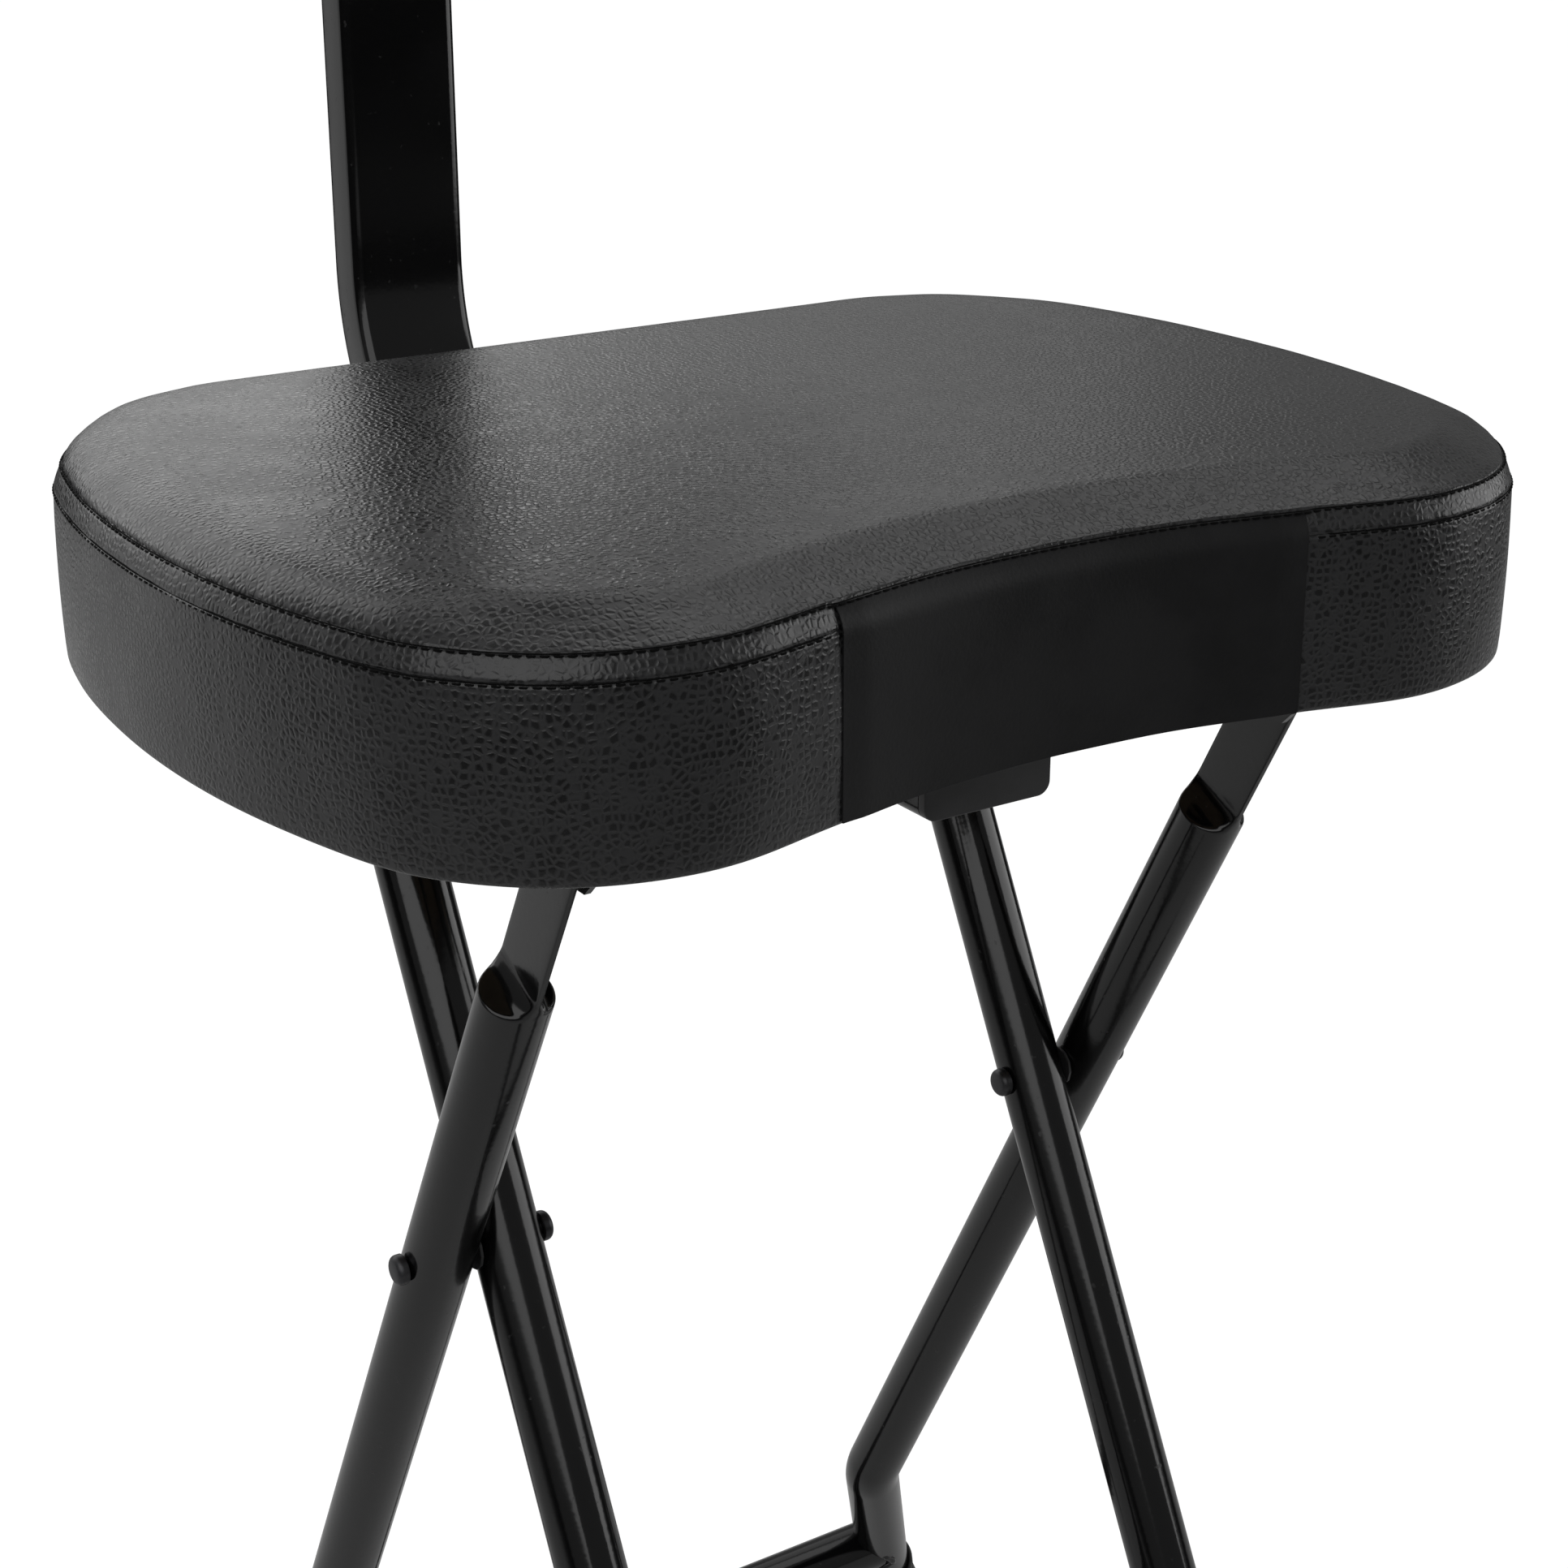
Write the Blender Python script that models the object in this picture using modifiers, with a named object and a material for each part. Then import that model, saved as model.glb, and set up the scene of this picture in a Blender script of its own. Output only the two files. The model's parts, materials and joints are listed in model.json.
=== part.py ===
"""Folding guitar stool with a kidney-shaped seat and a removable back bar.

Metres, +Z up. The stool stands on the plane z = 0, its front faces -Y, and
the origin lies under the middle of its bounding box.
"""
from math import cos, pi, radians, sin, sqrt, tan

import bmesh
import bpy
from mathutils import Matrix, Vector

MM = 0.001

# Clearances and steps shared by all pieces
GAP = 0.3 * MM
RUNNING_GAP = 0.4 * MM
OVERRUN = 4.0 * MM
WELD_DISTANCE = 0.01 * MM
SMOOTH_ANGLE = radians(35.0)
ROUND_STEPS = 16
BORE_STEPS = 20
SMALL_STEPS = 12
HEX_STEPS = 6
TUBE_BEVEL_STEPS = 8

# Crossed leg frames
CROSSING_HEIGHT = 367.0 * MM
LEG_LEAN = radians(27.55)
TUBE_DIAMETER = 22.0 * MM
TUBE_WALL = 1.5 * MM
OUTER_LEG_X = 126.0 * MM
INNER_LEG_X = 102.5 * MM
BEND_DROP = 240.0 * MM
BEND_RADIUS = 40.0 * MM
BEND_STEPS = 5
SPLAY_SLOPE = 0.45
TUBE_END_HEIGHT = 12.0 * MM
FOOTREST_DROP = 165.0 * MM
REAR_BRACE_DROP = 308.0 * MM
TOP_BAR_RISE = 136.0 * MM

# Flattened top of an outer leg
SEAT_PIVOT_RISE = 165.5 * MM
TAB_THICKNESS = 2.6 * MM
TAB_CORNER_SHARE = 0.22
PRESS_LENGTH = 15.0 * MM
TAB_LENGTH = 52.0 * MM
PRESS_STEPS = 7
TAB_END_STEPS = 4
BORE_END_MARGIN = 12.0 * MM

# Rivets and washers at the crossing
RIVET_DIAMETER = 5.0 * MM
RIVET_HEAD_DIAMETER = 9.6 * MM
RIVET_HEAD_HEIGHT = 3.8 * MM
RIVET_HEAD_SHARES = ((0.84, 0.94), (1.0, 0.6))
LEG_WASHER_DIAMETER = 14.0 * MM

# Feet and plugs
FOOT_DIAMETER = 29.0 * MM
FOOT_TOP_DIAMETER = 26.0 * MM
FOOT_LENGTH = 34.0 * MM
FOOT_FLARE_LOW = 6.0 * MM
FOOT_FLARE_HIGH = 18.0 * MM
FOOT_LIP = 1.2 * MM
FLOOR_BLOCK_SHARE = 4.0
PLUG_HEIGHT = 4.0 * MM
PLUG_STEM_LENGTH = 9.0 * MM
PLUG_CROWN_SHARES = ((0.0, 1.0), (0.6, 0.85), (0.9, 0.5), (1.0, 0.0))

# Seat cushion
SEAT_UNDERSIDE_RISE = 178.5 * MM
SEAT_HALF_WIDTH = 200.2 * MM
SEAT_FRONT_REACH = 129.7 * MM
SEAT_BACK_REACH = 148.0 * MM
SEAT_LOBE = 19.0 * MM
SEAT_LOWER_SEAM = 51.4 * MM
SEAT_UPPER_SEAM = 58.3 * MM
SEAT_CROWN = 66.9 * MM
SEAT_CROWN_RISE = 2.0 * MM
SEAT_SHOULDER = 23.9 * MM
SEAT_SEAM_BULGE = 4.0 * MM
SEAT_SIDE_BULGE = 4.8 * MM
SEAT_BASE_BULGE = 4.2 * MM
SEAT_HEM = 20.0 * MM
HEM_CHAMFER = 1.0 * MM
COVER_THICKNESS = 1.2 * MM
BOARD_THICKNESS = 12.0 * MM
BOARD_EDGE_SHARE = 0.15
SHOULDER_STEPS = 3
SIDE_BULGE_SHARE = 0.5
CROWN_INSET_SHARES = (0.5,)
SEAT_OUTLINE_STEPS = 54
FRONT_PANEL_HALF_WIDTH = 80.0 * MM
FRONT_PANEL_THICKNESS = 0.8 * MM
FRONT_PANEL_STEPS = 3

# Half of the seat's outline at the upper seam, from the front round to the
# back: share of the half width, share of the front reach (negative) or of
# the back reach, and share of the lobe's depth
SEAT_OUTLINE_SHARES = (
    (0.200, -1.000, 0.12),
    (0.400, -1.000, 0.56),
    (0.590, -1.000, 1.00),
    (0.760, -1.000, 0.55),
    (0.880, -0.913, 0.00),
    (0.932, -0.732, 0.00),
    (0.982, -0.386, 0.00),
    (1.000, -0.039, 0.00),
    (0.990, 0.270, 0.00),
    (0.962, 0.507, 0.00),
    (0.916, 0.703, 0.00),
    (0.787, 0.919, 0.00),
    (0.672, 0.980, 0.00),
    (0.633, 1.000, 0.00),
    (0.300, 1.000, 0.00),
)

# Hinge brackets under the front of the seat
BRACKET_SHEET = 2.0 * MM
BRACKET_DEPTH = 27.7 * MM
BRACKET_FLANGE = 20.0 * MM
BRACKET_SCREW_SHARES = {"front": 0.2, "rear": 0.8}
BRACKET_FRONT = -96.5 * MM
BRACKET_LENGTH = 44.0 * MM
BRACKET_CORNER = 4.0 * MM
PIVOT_BOLT_DIAMETER = 6.0 * MM
PIVOT_HEAD_DIAMETER = 11.0 * MM
PIVOT_HEAD_HEIGHT = 3.6 * MM
PIVOT_HEAD_SHARES = ((0.6, 1.0), (1.0, 0.4))
PIVOT_NUT_ACROSS = 11.0 * MM
PIVOT_NUT_HEIGHT = 4.8 * MM
PIVOT_WASHER_DIAMETER = 14.0 * MM
PIVOT_WASHER_THICKNESS = 1.0 * MM
PIVOT_BOLT_TAIL = 1.4 * MM

# Saddles that rest on the top bar of the inner frame
SADDLE_X = 62.0 * MM
SADDLE_WIDTH = 26.0 * MM
SADDLE_WALL = 6.0 * MM
SADDLE_REAR_DROP = 8.0 * MM
SADDLE_FOOT = 15.0 * MM
SADDLE_FOOT_THICKNESS = 4.0 * MM
SADDLE_LIP_ANGLE = radians(42.0)
SADDLE_LIP_WIDTH_SHARE = 0.35
SADDLE_LIP_HEIGHT_SHARE = 0.5
SADDLE_ARC_STEPS = 8

# Screws up into the seat board
BOARD_SCREW_DIAMETER = 4.0 * MM
BOARD_SCREW_HEAD_DIAMETER = 8.0 * MM
BOARD_SCREW_HEAD_HEIGHT = 2.2 * MM
BOARD_SCREW_BITE = 9.0 * MM
BOARD_SCREW_TIP = 4.0 * MM
BOARD_SCREW_TIP_SHARES = ((0.0, 0.0), (0.5, 0.5), (1.0, 1.0))
PAN_HEAD_SHARES = ((1.0, 0.45), (0.7, 1.0))
FLANGE_SCREW_SHARE = 0.55

# Back bar, its sleeves and its clamp knob
BAR_WIDTH = 44.0 * MM
BAR_THICKNESS = 20.0 * MM
BAR_CORNER = 4.2 * MM
BAR_CORNER_STEPS = 3
BAR_WALL = 1.8 * MM
BAR_UNDERSIDE_RISE = 153.7 * MM
BAR_FRONT = -104.4 * MM
BAR_UPRIGHT_FRONT = 245.2 * MM
BAR_BEND_RADIUS = 89.0 * MM
BAR_BEND_STEPS = 9
BAR_TOP_RISE = 520.0 * MM
BAR_CAP_THICKNESS = 3.0 * MM
BAR_CAP_STEM = 8.0 * MM
BAR_CAP_EDGE = 0.8 * MM
SLEEVE_WALL = 2.5 * MM
SLEEVE_CHAMFER = 1.2 * MM
SLEEVE_LENGTH = 24.0 * MM
SLEEVE_FRONT_Y = -35.0 * MM
SLEEVE_REAR_Y = 107.0 * MM
SLEEVE_FLANGE = 17.0 * MM
SLEEVE_FLANGE_THICKNESS = 2.6 * MM
SLEEVE_BOSS_DIAMETER = 15.0 * MM
SLEEVE_BOSS_HEIGHT = 5.0 * MM
KNOB_STUD_DIAMETER = 8.0 * MM
KNOB_DIAMETER = 34.0 * MM
KNOB_HEIGHT = 15.0 * MM
KNOB_LOBE_COUNT = 6
KNOB_LOBE_SHARE = 0.09
KNOB_LOBE_STEPS = 6
KNOB_NECK = 3.0 * MM
KNOB_NECK_DIAMETER = 14.0 * MM
KNOB_EDGE = 1.5 * MM

# Backrest pad
BACK_CENTRE_RISE = 466.0 * MM
BACK_WIDTH = 300.0 * MM
BACK_HEIGHT = 150.0 * MM
BACK_CORNER = 48.0 * MM
BACK_LOWER_SEAM = 22.0 * MM
BACK_UPPER_SEAM = 28.0 * MM
BACK_CROWN = 36.0 * MM
BACK_CROWN_RISE = 2.5 * MM
BACK_SHOULDER = 16.0 * MM
BACK_SEAM_BULGE = 2.4 * MM
BACK_SIDE_BULGE = 3.0 * MM
BACK_BASE_BULGE = 2.4 * MM
BACK_HEM = 14.0 * MM
BACK_BOARD_THICKNESS = 9.0 * MM
BACK_CORNER_STEPS = 3
BACK_OUTLINE_STEPS = 36
BACK_SCREW_SPACING = 70.0 * MM
BACK_SCREW_DIAMETER = 6.0 * MM
BACK_SCREW_HEAD_DIAMETER = 12.0 * MM
BACK_SCREW_HEAD_HEIGHT = 3.0 * MM
BACK_SCREW_BITE = 7.0 * MM

# Sizes that follow from the ones above
TUBE_RADIUS = TUBE_DIAMETER / 2
LEAN_SLOPE = tan(LEG_LEAN)
FOOT_REACH = FOOT_DIAMETER / 2 * sqrt(1 + LEAN_SLOPE ** 2)
FRONT_REACH = CROSSING_HEIGHT * LEAN_SLOPE + FOOT_REACH
REAR_REACH = BAR_UPRIGHT_FRONT + BAR_THICKNESS + GAP + BACK_SCREW_HEAD_HEIGHT
CROSSING = Vector((0, (FRONT_REACH - REAR_REACH) / 2, CROSSING_HEIGHT))
SEAT_PIVOT = CROSSING + Vector((0, -SEAT_PIVOT_RISE * LEAN_SLOPE, SEAT_PIVOT_RISE))
TOP_BAR = CROSSING + Vector((0, TOP_BAR_RISE * LEAN_SLOPE, TOP_BAR_RISE))
SEAT_BASE = CROSSING + Vector((0, 0, SEAT_UNDERSIDE_RISE))
BOARD_UNDERSIDE = SEAT_BASE.z + COVER_THICKNESS + GAP
MOUNTING_HEIGHT = BOARD_UNDERSIDE - GAP
BAR_UNDERSIDE = CROSSING.z + BAR_UNDERSIDE_RISE
BAR_MIDDLE = BAR_UNDERSIDE + BAR_THICKNESS / 2
BACK_PLANE = CROSSING.y + BAR_UPRIGHT_FRONT - GAP
BACK_CENTRE = Vector((0, BACK_PLANE, CROSSING.z + BACK_CENTRE_RISE))
SIDES = {"left": -1, "right": 1}


# Scene and materials

def clear_scene():
    """Remove whatever the file holds."""
    for obj in list(bpy.data.objects):
        bpy.data.objects.remove(obj, do_unlink=True)


def make_collection(name):
    """Return a new collection linked to the scene."""
    collection = bpy.data.collections.new(name)
    bpy.context.scene.collection.children.link(collection)
    return collection


def make_material(name, colour, roughness, metallic=0.0):
    """Return a Principled material."""
    material = bpy.data.materials.new(name)
    material.use_nodes = True
    shader = material.node_tree.nodes["Principled BSDF"]
    shader.inputs["Base Color"].default_value = (*colour, 1.0)
    shader.inputs["Roughness"].default_value = roughness
    shader.inputs["Metallic"].default_value = metallic
    return material


# Shared mesh helpers

def add_object(name, mesh, collection, material=None):
    """Link a mesh as an object, shaded smooth with sharp edges kept."""
    obj = bpy.data.objects.new(name, mesh)
    collection.objects.link(obj)
    mesh.shade_smooth()
    mesh.set_sharp_from_angle(angle=SMOOTH_ANGLE)
    if material:
        mesh.materials.append(material)
    return obj


def mesh_from_bmesh(name, bm):
    """Write a bmesh to a new mesh with its faces pointing out."""
    bmesh.ops.recalc_face_normals(bm, faces=bm.faces)
    mesh = bpy.data.meshes.new(name)
    bm.to_mesh(mesh)
    bm.free()
    return mesh


def loft(rings, close_ends=True):
    """Bridge rings of points, each with the same count, into one skin."""
    bm = bmesh.new()
    loops = [[bm.verts.new(point) for point in ring] for ring in rings]
    count = len(loops[0])
    for lower, upper in zip(loops, loops[1:]):
        for i in range(count):
            j = (i + 1) % count
            bm.faces.new((lower[i], lower[j], upper[j], upper[i]))
    if close_ends:
        bm.faces.new(loops[0])
        bm.faces.new(loops[-1])
    return bm


def extrude_profile(name, points, to_world, depth):
    """Extrude a flat outline by depth; to_world places (u, v, w) in space."""
    lower = [to_world(u, v, -depth / 2) for u, v in points]
    upper = [to_world(u, v, depth / 2) for u, v in points]
    return mesh_from_bmesh(name, loft([lower, upper]))


def axis_matrix(origin, direction):
    """Return a matrix whose local Z runs along direction from origin."""
    turn = Vector((0, 0, 1)).rotation_difference(direction.normalized())
    return Matrix.Translation(origin) @ turn.to_matrix().to_4x4()


def cylinder_mesh(name, radius, start, end, steps=ROUND_STEPS):
    """A closed cylinder between two points."""
    bm = bmesh.new()
    span = end - start
    matrix = axis_matrix((start + end) / 2, span)
    bmesh.ops.create_cone(bm, cap_ends=True, segments=steps, radius1=radius,
                          radius2=radius, depth=span.length, matrix=matrix)
    return mesh_from_bmesh(name, bm)


def turned(name, profile, origin, direction, collection, material, steps=ROUND_STEPS):
    """Turn a profile of (radius, height) points, listed top to bottom."""
    mesh = bpy.data.meshes.new(name)
    verts = [(radius, 0, height) for radius, height in profile]
    edges = [(i, i + 1) for i in range(len(verts) - 1)]
    mesh.from_pydata(verts, edges, [])
    obj = add_object(name, mesh, collection, material)
    obj.matrix_world = axis_matrix(origin, direction)
    screw = obj.modifiers.new("Turn", "SCREW")
    screw.steps = steps
    screw.render_steps = steps
    screw.use_merge_vertices = True
    screw.merge_threshold = WELD_DISTANCE
    screw.use_normal_calculate = False
    return obj


def make_cutter(name, mesh, collection):
    """Keep a mesh as a hidden cutter."""
    obj = bpy.data.objects.new(name, mesh)
    collection.objects.link(obj)
    obj.hide_render = True
    obj.display_type = "WIRE"
    return obj


def cut(obj, cutter):
    """Subtract a cutter from an object."""
    modifier = obj.modifiers.new("Cut " + cutter.name, "BOOLEAN")
    modifier.operation = "DIFFERENCE"
    modifier.solver = "EXACT"
    modifier.object = cutter


def merge_meshes(name, meshes):
    """Gather separate bodies in one mesh, for a cutter with several parts."""
    bm = bmesh.new()
    for mesh in meshes:
        bm.from_mesh(mesh)
        bpy.data.meshes.remove(mesh)
    merged = bpy.data.meshes.new(name)
    bm.to_mesh(merged)
    bm.free()
    return merged


# Tubes

def bend_path(start, corner, end, radius, steps):
    """Points of a straight, an arc of the given radius, and a straight."""
    first = (corner - start).normalized()
    second = (end - corner).normalized()
    angle = first.angle(second)
    setback = radius * tan(angle / 2)
    arc_start = corner - first * setback
    toward_centre = (second - first * first.dot(second)).normalized()
    centre = arc_start + toward_centre * radius
    points = [start]
    for step in range(steps + 1):
        turn = angle * step / steps
        points.append(centre + (first * sin(turn) - toward_centre * cos(turn)) * radius)
    points.append(end)
    return points


def tube_mesh(name, path, radius, capped=True):
    """Make a tube along a path as a curve, and return it as a mesh."""
    curve = bpy.data.curves.new(name, "CURVE")
    curve.dimensions = "3D"
    curve.bevel_depth = radius
    curve.bevel_resolution = TUBE_BEVEL_STEPS
    curve.use_fill_caps = capped
    spline = curve.splines.new("POLY")
    spline.points.add(len(path) - 1)
    for point, place in zip(spline.points, path):
        point.co = (*place, 1)
    return mesh_from_curve(name, curve)


def mesh_from_curve(name, curve):
    """Evaluate a curve to a welded mesh and remove the curve."""
    holder = bpy.data.objects.new(name, curve)
    bpy.context.scene.collection.objects.link(holder)
    evaluated = holder.evaluated_get(bpy.context.evaluated_depsgraph_get())
    mesh = bpy.data.meshes.new_from_object(evaluated)
    mesh.transform(holder.matrix_world)
    bpy.data.objects.remove(holder)
    bpy.data.curves.remove(curve)
    bm = bmesh.new()
    bm.from_mesh(mesh)
    bpy.data.meshes.remove(mesh)
    bmesh.ops.remove_doubles(bm, verts=bm.verts, dist=WELD_DISTANCE)
    return mesh_from_bmesh(name, bm)


def leg_crossing(side, half_width):
    """The point of a leg's axis at the crossing."""
    return Vector((side * half_width, CROSSING.y, CROSSING.z))


def leg_down(facing):
    """Unit vector down the straight part of a leg; facing +1 is the rear."""
    return Vector((0, facing * sin(LEG_LEAN), -cos(LEG_LEAN)))


def splay_down(side, facing):
    """Unit vector down the splayed part of a leg."""
    return Vector((side * SPLAY_SLOPE, facing * LEAN_SLOPE, -1)).normalized()


def leg_corner(side, half_width, facing):
    """The point where the axes of a leg's two straight parts meet."""
    return leg_crossing(side, half_width) + leg_down(facing) * (BEND_DROP / cos(LEG_LEAN))


def leg_end(side, half_width, facing, height=TUBE_END_HEIGHT):
    """The point of a leg's lower axis at a height above the floor."""
    corner = leg_corner(side, half_width, facing)
    direction = splay_down(side, facing)
    return corner + direction * ((height - corner.z) / direction.z)


def leg_path(side, half_width, facing, upper_points):
    """Axis of a leg from its upper points, listed top first, to its end."""
    corner = leg_corner(side, half_width, facing)
    end = leg_end(side, half_width, facing)
    return upper_points[:-1] + bend_path(upper_points[-1], corner, end,
                                         BEND_RADIUS, BEND_STEPS)


def outer_leg_stations():
    """Distances above the crossing, top first, of the pressed end's rings."""
    pivot = SEAT_PIVOT_RISE / cos(LEG_LEAN)
    tab_foot = pivot - TAB_LENGTH
    tip = [pivot + TUBE_RADIUS * sin(pi / 2 * (1 - step / TAB_END_STEPS))
           for step in range(TAB_END_STEPS)]
    tip[0] = pivot + TUBE_RADIUS * sqrt(1 - TAB_CORNER_SHARE ** 2)
    press = [tab_foot - PRESS_LENGTH * step / PRESS_STEPS
             for step in range(PRESS_STEPS + 1)]
    return tip + [pivot] + press


def press_end(mesh, side):
    """Press the top of a round leg into a flat tab with a rounded tip."""
    crossing = leg_crossing(side, OUTER_LEG_X)
    up = -leg_down(1)
    pivot = SEAT_PIVOT_RISE / cos(LEG_LEAN)
    tab_foot = pivot - TAB_LENGTH
    across = Vector((1, 0, 0))
    edgeways = up.cross(across)
    for vert in mesh.vertices:
        offset = vert.co - crossing
        along = offset.dot(up)
        p = offset.dot(across)
        q = offset.dot(edgeways)
        depth = min(1.0, max(0.0, (along - tab_foot + PRESS_LENGTH) / PRESS_LENGTH))
        if depth == 0.0:
            continue
        pressed = 0.5 - 0.5 * cos(pi * depth)
        half = TUBE_RADIUS + (TAB_THICKNESS / 2 - TUBE_RADIUS) * pressed
        power = 1 + (TAB_CORNER_SHARE - 1) * pressed
        share = min(1.0, abs(p) / TUBE_RADIUS)
        new_p = half * share ** power * (1 if p >= 0 else -1)
        beyond = max(0.0, along - pivot) / TUBE_RADIUS
        new_q = q * sqrt(max(0.0, 1 - beyond ** 2))
        vert.co = crossing + up * along + across * new_p + edgeways * new_q


def hole_along_x(name, centre, radius, half_length, collection, steps=SMALL_STEPS):
    """A round cutter along X through a point."""
    reach = Vector((half_length, 0, 0))
    mesh = cylinder_mesh(name, radius, centre - reach, centre + reach, steps)
    return make_cutter(name, mesh, collection)


def rivet_hole(name, centre, cutters):
    """The clearance hole for a rivet through one leg."""
    radius = RIVET_DIAMETER / 2 + GAP
    return hole_along_x(name, centre, radius, TUBE_RADIUS + OVERRUN, cutters)


def build_outer_leg(name, side, parts, cutters, material):
    """A leg of the outer frame: pressed tab, straight tube, splayed foot."""
    up = -leg_down(1)
    crossing = leg_crossing(side, OUTER_LEG_X)
    upper = [crossing + up * station for station in outer_leg_stations()]
    mesh = tube_mesh(name, leg_path(side, OUTER_LEG_X, 1, upper), TUBE_RADIUS)
    press_end(mesh, side)
    leg = add_object(name, mesh, parts, material)
    bore_top = crossing + up * (outer_leg_stations()[-1] - BORE_END_MARGIN)
    bore_end = leg_end(side, OUTER_LEG_X, 1) + splay_down(side, 1) * OVERRUN
    bore_path = bend_path(bore_top, leg_corner(side, OUTER_LEG_X, 1), bore_end,
                          BEND_RADIUS, BEND_STEPS)
    bore = tube_mesh(name + "_bore", bore_path, TUBE_RADIUS - TUBE_WALL)
    cut(leg, make_cutter(name + "_bore", bore, cutters))
    cut(leg, rivet_hole(name + "_rivet_hole", crossing, cutters))
    pivot = Vector((side * OUTER_LEG_X, SEAT_PIVOT.y, SEAT_PIVOT.z))
    cut(leg, hole_along_x(name + "_pivot_hole", pivot, PIVOT_BOLT_DIAMETER / 2 + GAP,
                          TUBE_RADIUS, cutters))
    return leg


def open_tube(name, path, parts, material):
    """A round tube with its ends left open."""
    mesh = tube_mesh(name, path, TUBE_RADIUS, capped=False)
    tube = add_object(name, mesh, parts, material)
    wall = tube.modifiers.new("Wall", "SOLIDIFY")
    wall.thickness = TUBE_WALL
    wall.offset = -1
    return tube


def build_inner_leg(name, side, parts, cutters, material):
    """A leg of the inner frame, open at both ends."""
    crossing = leg_crossing(side, INNER_LEG_X)
    top = crossing - leg_down(-1) * inner_leg_reach()
    path = leg_path(side, INNER_LEG_X, -1, [top])
    leg = open_tube(name, path, parts, material)
    cut(leg, rivet_hole(name + "_rivet_hole", crossing, cutters))
    return leg


def inner_leg_reach():
    """Length of an inner leg above the crossing."""
    return TOP_BAR_RISE / cos(LEG_LEAN) + TUBE_RADIUS


def build_cross_tube(name, ends, leg_lines, parts, cutters, material):
    """A tube between two legs, its ends coped to fit round them."""
    tube = open_tube(name, ends, parts, material)
    for side_name, (start, end) in zip(SIDES, leg_lines):
        mesh = tube_mesh(name + "_cope_" + side_name, [start, end], TUBE_RADIUS + GAP)
        cut(tube, make_cutter(name + "_cope_" + side_name, mesh, cutters))
    return tube


def build_straight_cross_tube(name, rise, parts, cutters, material):
    """A cross tube between the straight parts of the inner legs."""
    ends = []
    lines = []
    for side in SIDES.values():
        crossing = leg_crossing(side, INNER_LEG_X)
        up = -leg_down(-1)
        centre = crossing + up * (rise / cos(LEG_LEAN))
        reach = up * (TUBE_DIAMETER + OVERRUN)
        ends.append(centre)
        lines.append((centre - reach, centre + reach))
    return build_cross_tube(name, ends, lines, parts, cutters, material)


def build_rear_brace(name, parts, cutters, material):
    """A cross tube between the splayed parts of the outer legs."""
    ends = []
    lines = []
    for side in SIDES.values():
        centre = leg_end(side, OUTER_LEG_X, 1, CROSSING.z - REAR_BRACE_DROP)
        reach = splay_down(side, 1) * (TUBE_DIAMETER + OVERRUN)
        ends.append(centre)
        lines.append((centre - reach, centre + reach))
    return build_cross_tube(name, ends, lines, parts, cutters, material)


def build_foot(name, side, half_width, facing, parts, cutters, material):
    """A rubber boot on a leg's end, cut off flat by the floor."""
    bore = TUBE_RADIUS + GAP
    upper = FOOT_TOP_DIAMETER / 2
    lower = FOOT_DIAMETER / 2
    profile = [
        (0, FOOT_LENGTH),
        (upper - FOOT_LIP / 2, FOOT_LENGTH),
        (upper, FOOT_LENGTH - FOOT_LIP),
        (upper, FOOT_FLARE_HIGH),
        (lower, FOOT_FLARE_LOW),
        (lower, -FOOT_DIAMETER),
        (0, -FOOT_DIAMETER),
    ]
    end = leg_end(side, half_width, facing)
    up = -splay_down(side, facing)
    foot = turned(name, profile, end, up, parts, material)
    bore_mesh = cylinder_mesh(name + "_bore", bore, end - up * GAP,
                              end + up * (FOOT_LENGTH + OVERRUN), BORE_STEPS)
    cut(foot, make_cutter(name + "_bore", bore_mesh, cutters))
    cut(foot, floor_cutter(name + "_floor", end, cutters))
    return foot


def floor_cutter(name, near, cutters):
    """A block with its top on the floor, under one foot."""
    bm = bmesh.new()
    size = FOOT_DIAMETER * FLOOR_BLOCK_SHARE
    scale = Matrix.Diagonal((size, size, size, 1))
    place = Matrix.Translation((near.x, near.y, -size / 2))
    bmesh.ops.create_cube(bm, size=1, matrix=place @ scale)
    return make_cutter(name, mesh_from_bmesh(name, bm), cutters)


def build_plug(name, side, parts, material):
    """A plastic plug in the open top of an inner leg."""
    up = -leg_down(-1)
    top = leg_crossing(side, INNER_LEG_X) + up * (inner_leg_reach() + GAP)
    stem = TUBE_RADIUS - TUBE_WALL - GAP
    profile = [(TUBE_RADIUS * out, PLUG_HEIGHT * high) for out, high in PLUG_CROWN_SHARES]
    profile += [(stem, 0), (stem, -PLUG_STEM_LENGTH), (0, -PLUG_STEM_LENGTH)]
    return turned(name, profile, top, up, parts, material)


def build_rivet(name, side, parts, material):
    """A rivet through both legs at the crossing, with a head at each end."""
    shank = RIVET_DIAMETER / 2
    head = RIVET_HEAD_DIAMETER / 2
    outer_face = OUTER_LEG_X + TUBE_RADIUS + GAP
    inner_face = INNER_LEG_X - TUBE_RADIUS - GAP
    length = outer_face - inner_face
    domed = [(head * out, RIVET_HEAD_HEIGHT * high) for out, high in RIVET_HEAD_SHARES]
    profile = [(0, length + RIVET_HEAD_HEIGHT)]
    profile += [(out, length + high) for out, high in domed]
    profile += [(head, length), (shank, length), (shank, 0), (head, 0)]
    profile += [(out, -high) for out, high in reversed(domed)]
    profile += [(0, -RIVET_HEAD_HEIGHT)]
    origin = Vector((side * inner_face, CROSSING.y, CROSSING.z))
    return turned(name, profile, origin, Vector((side, 0, 0)), parts, material,
                  SMALL_STEPS)


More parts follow.
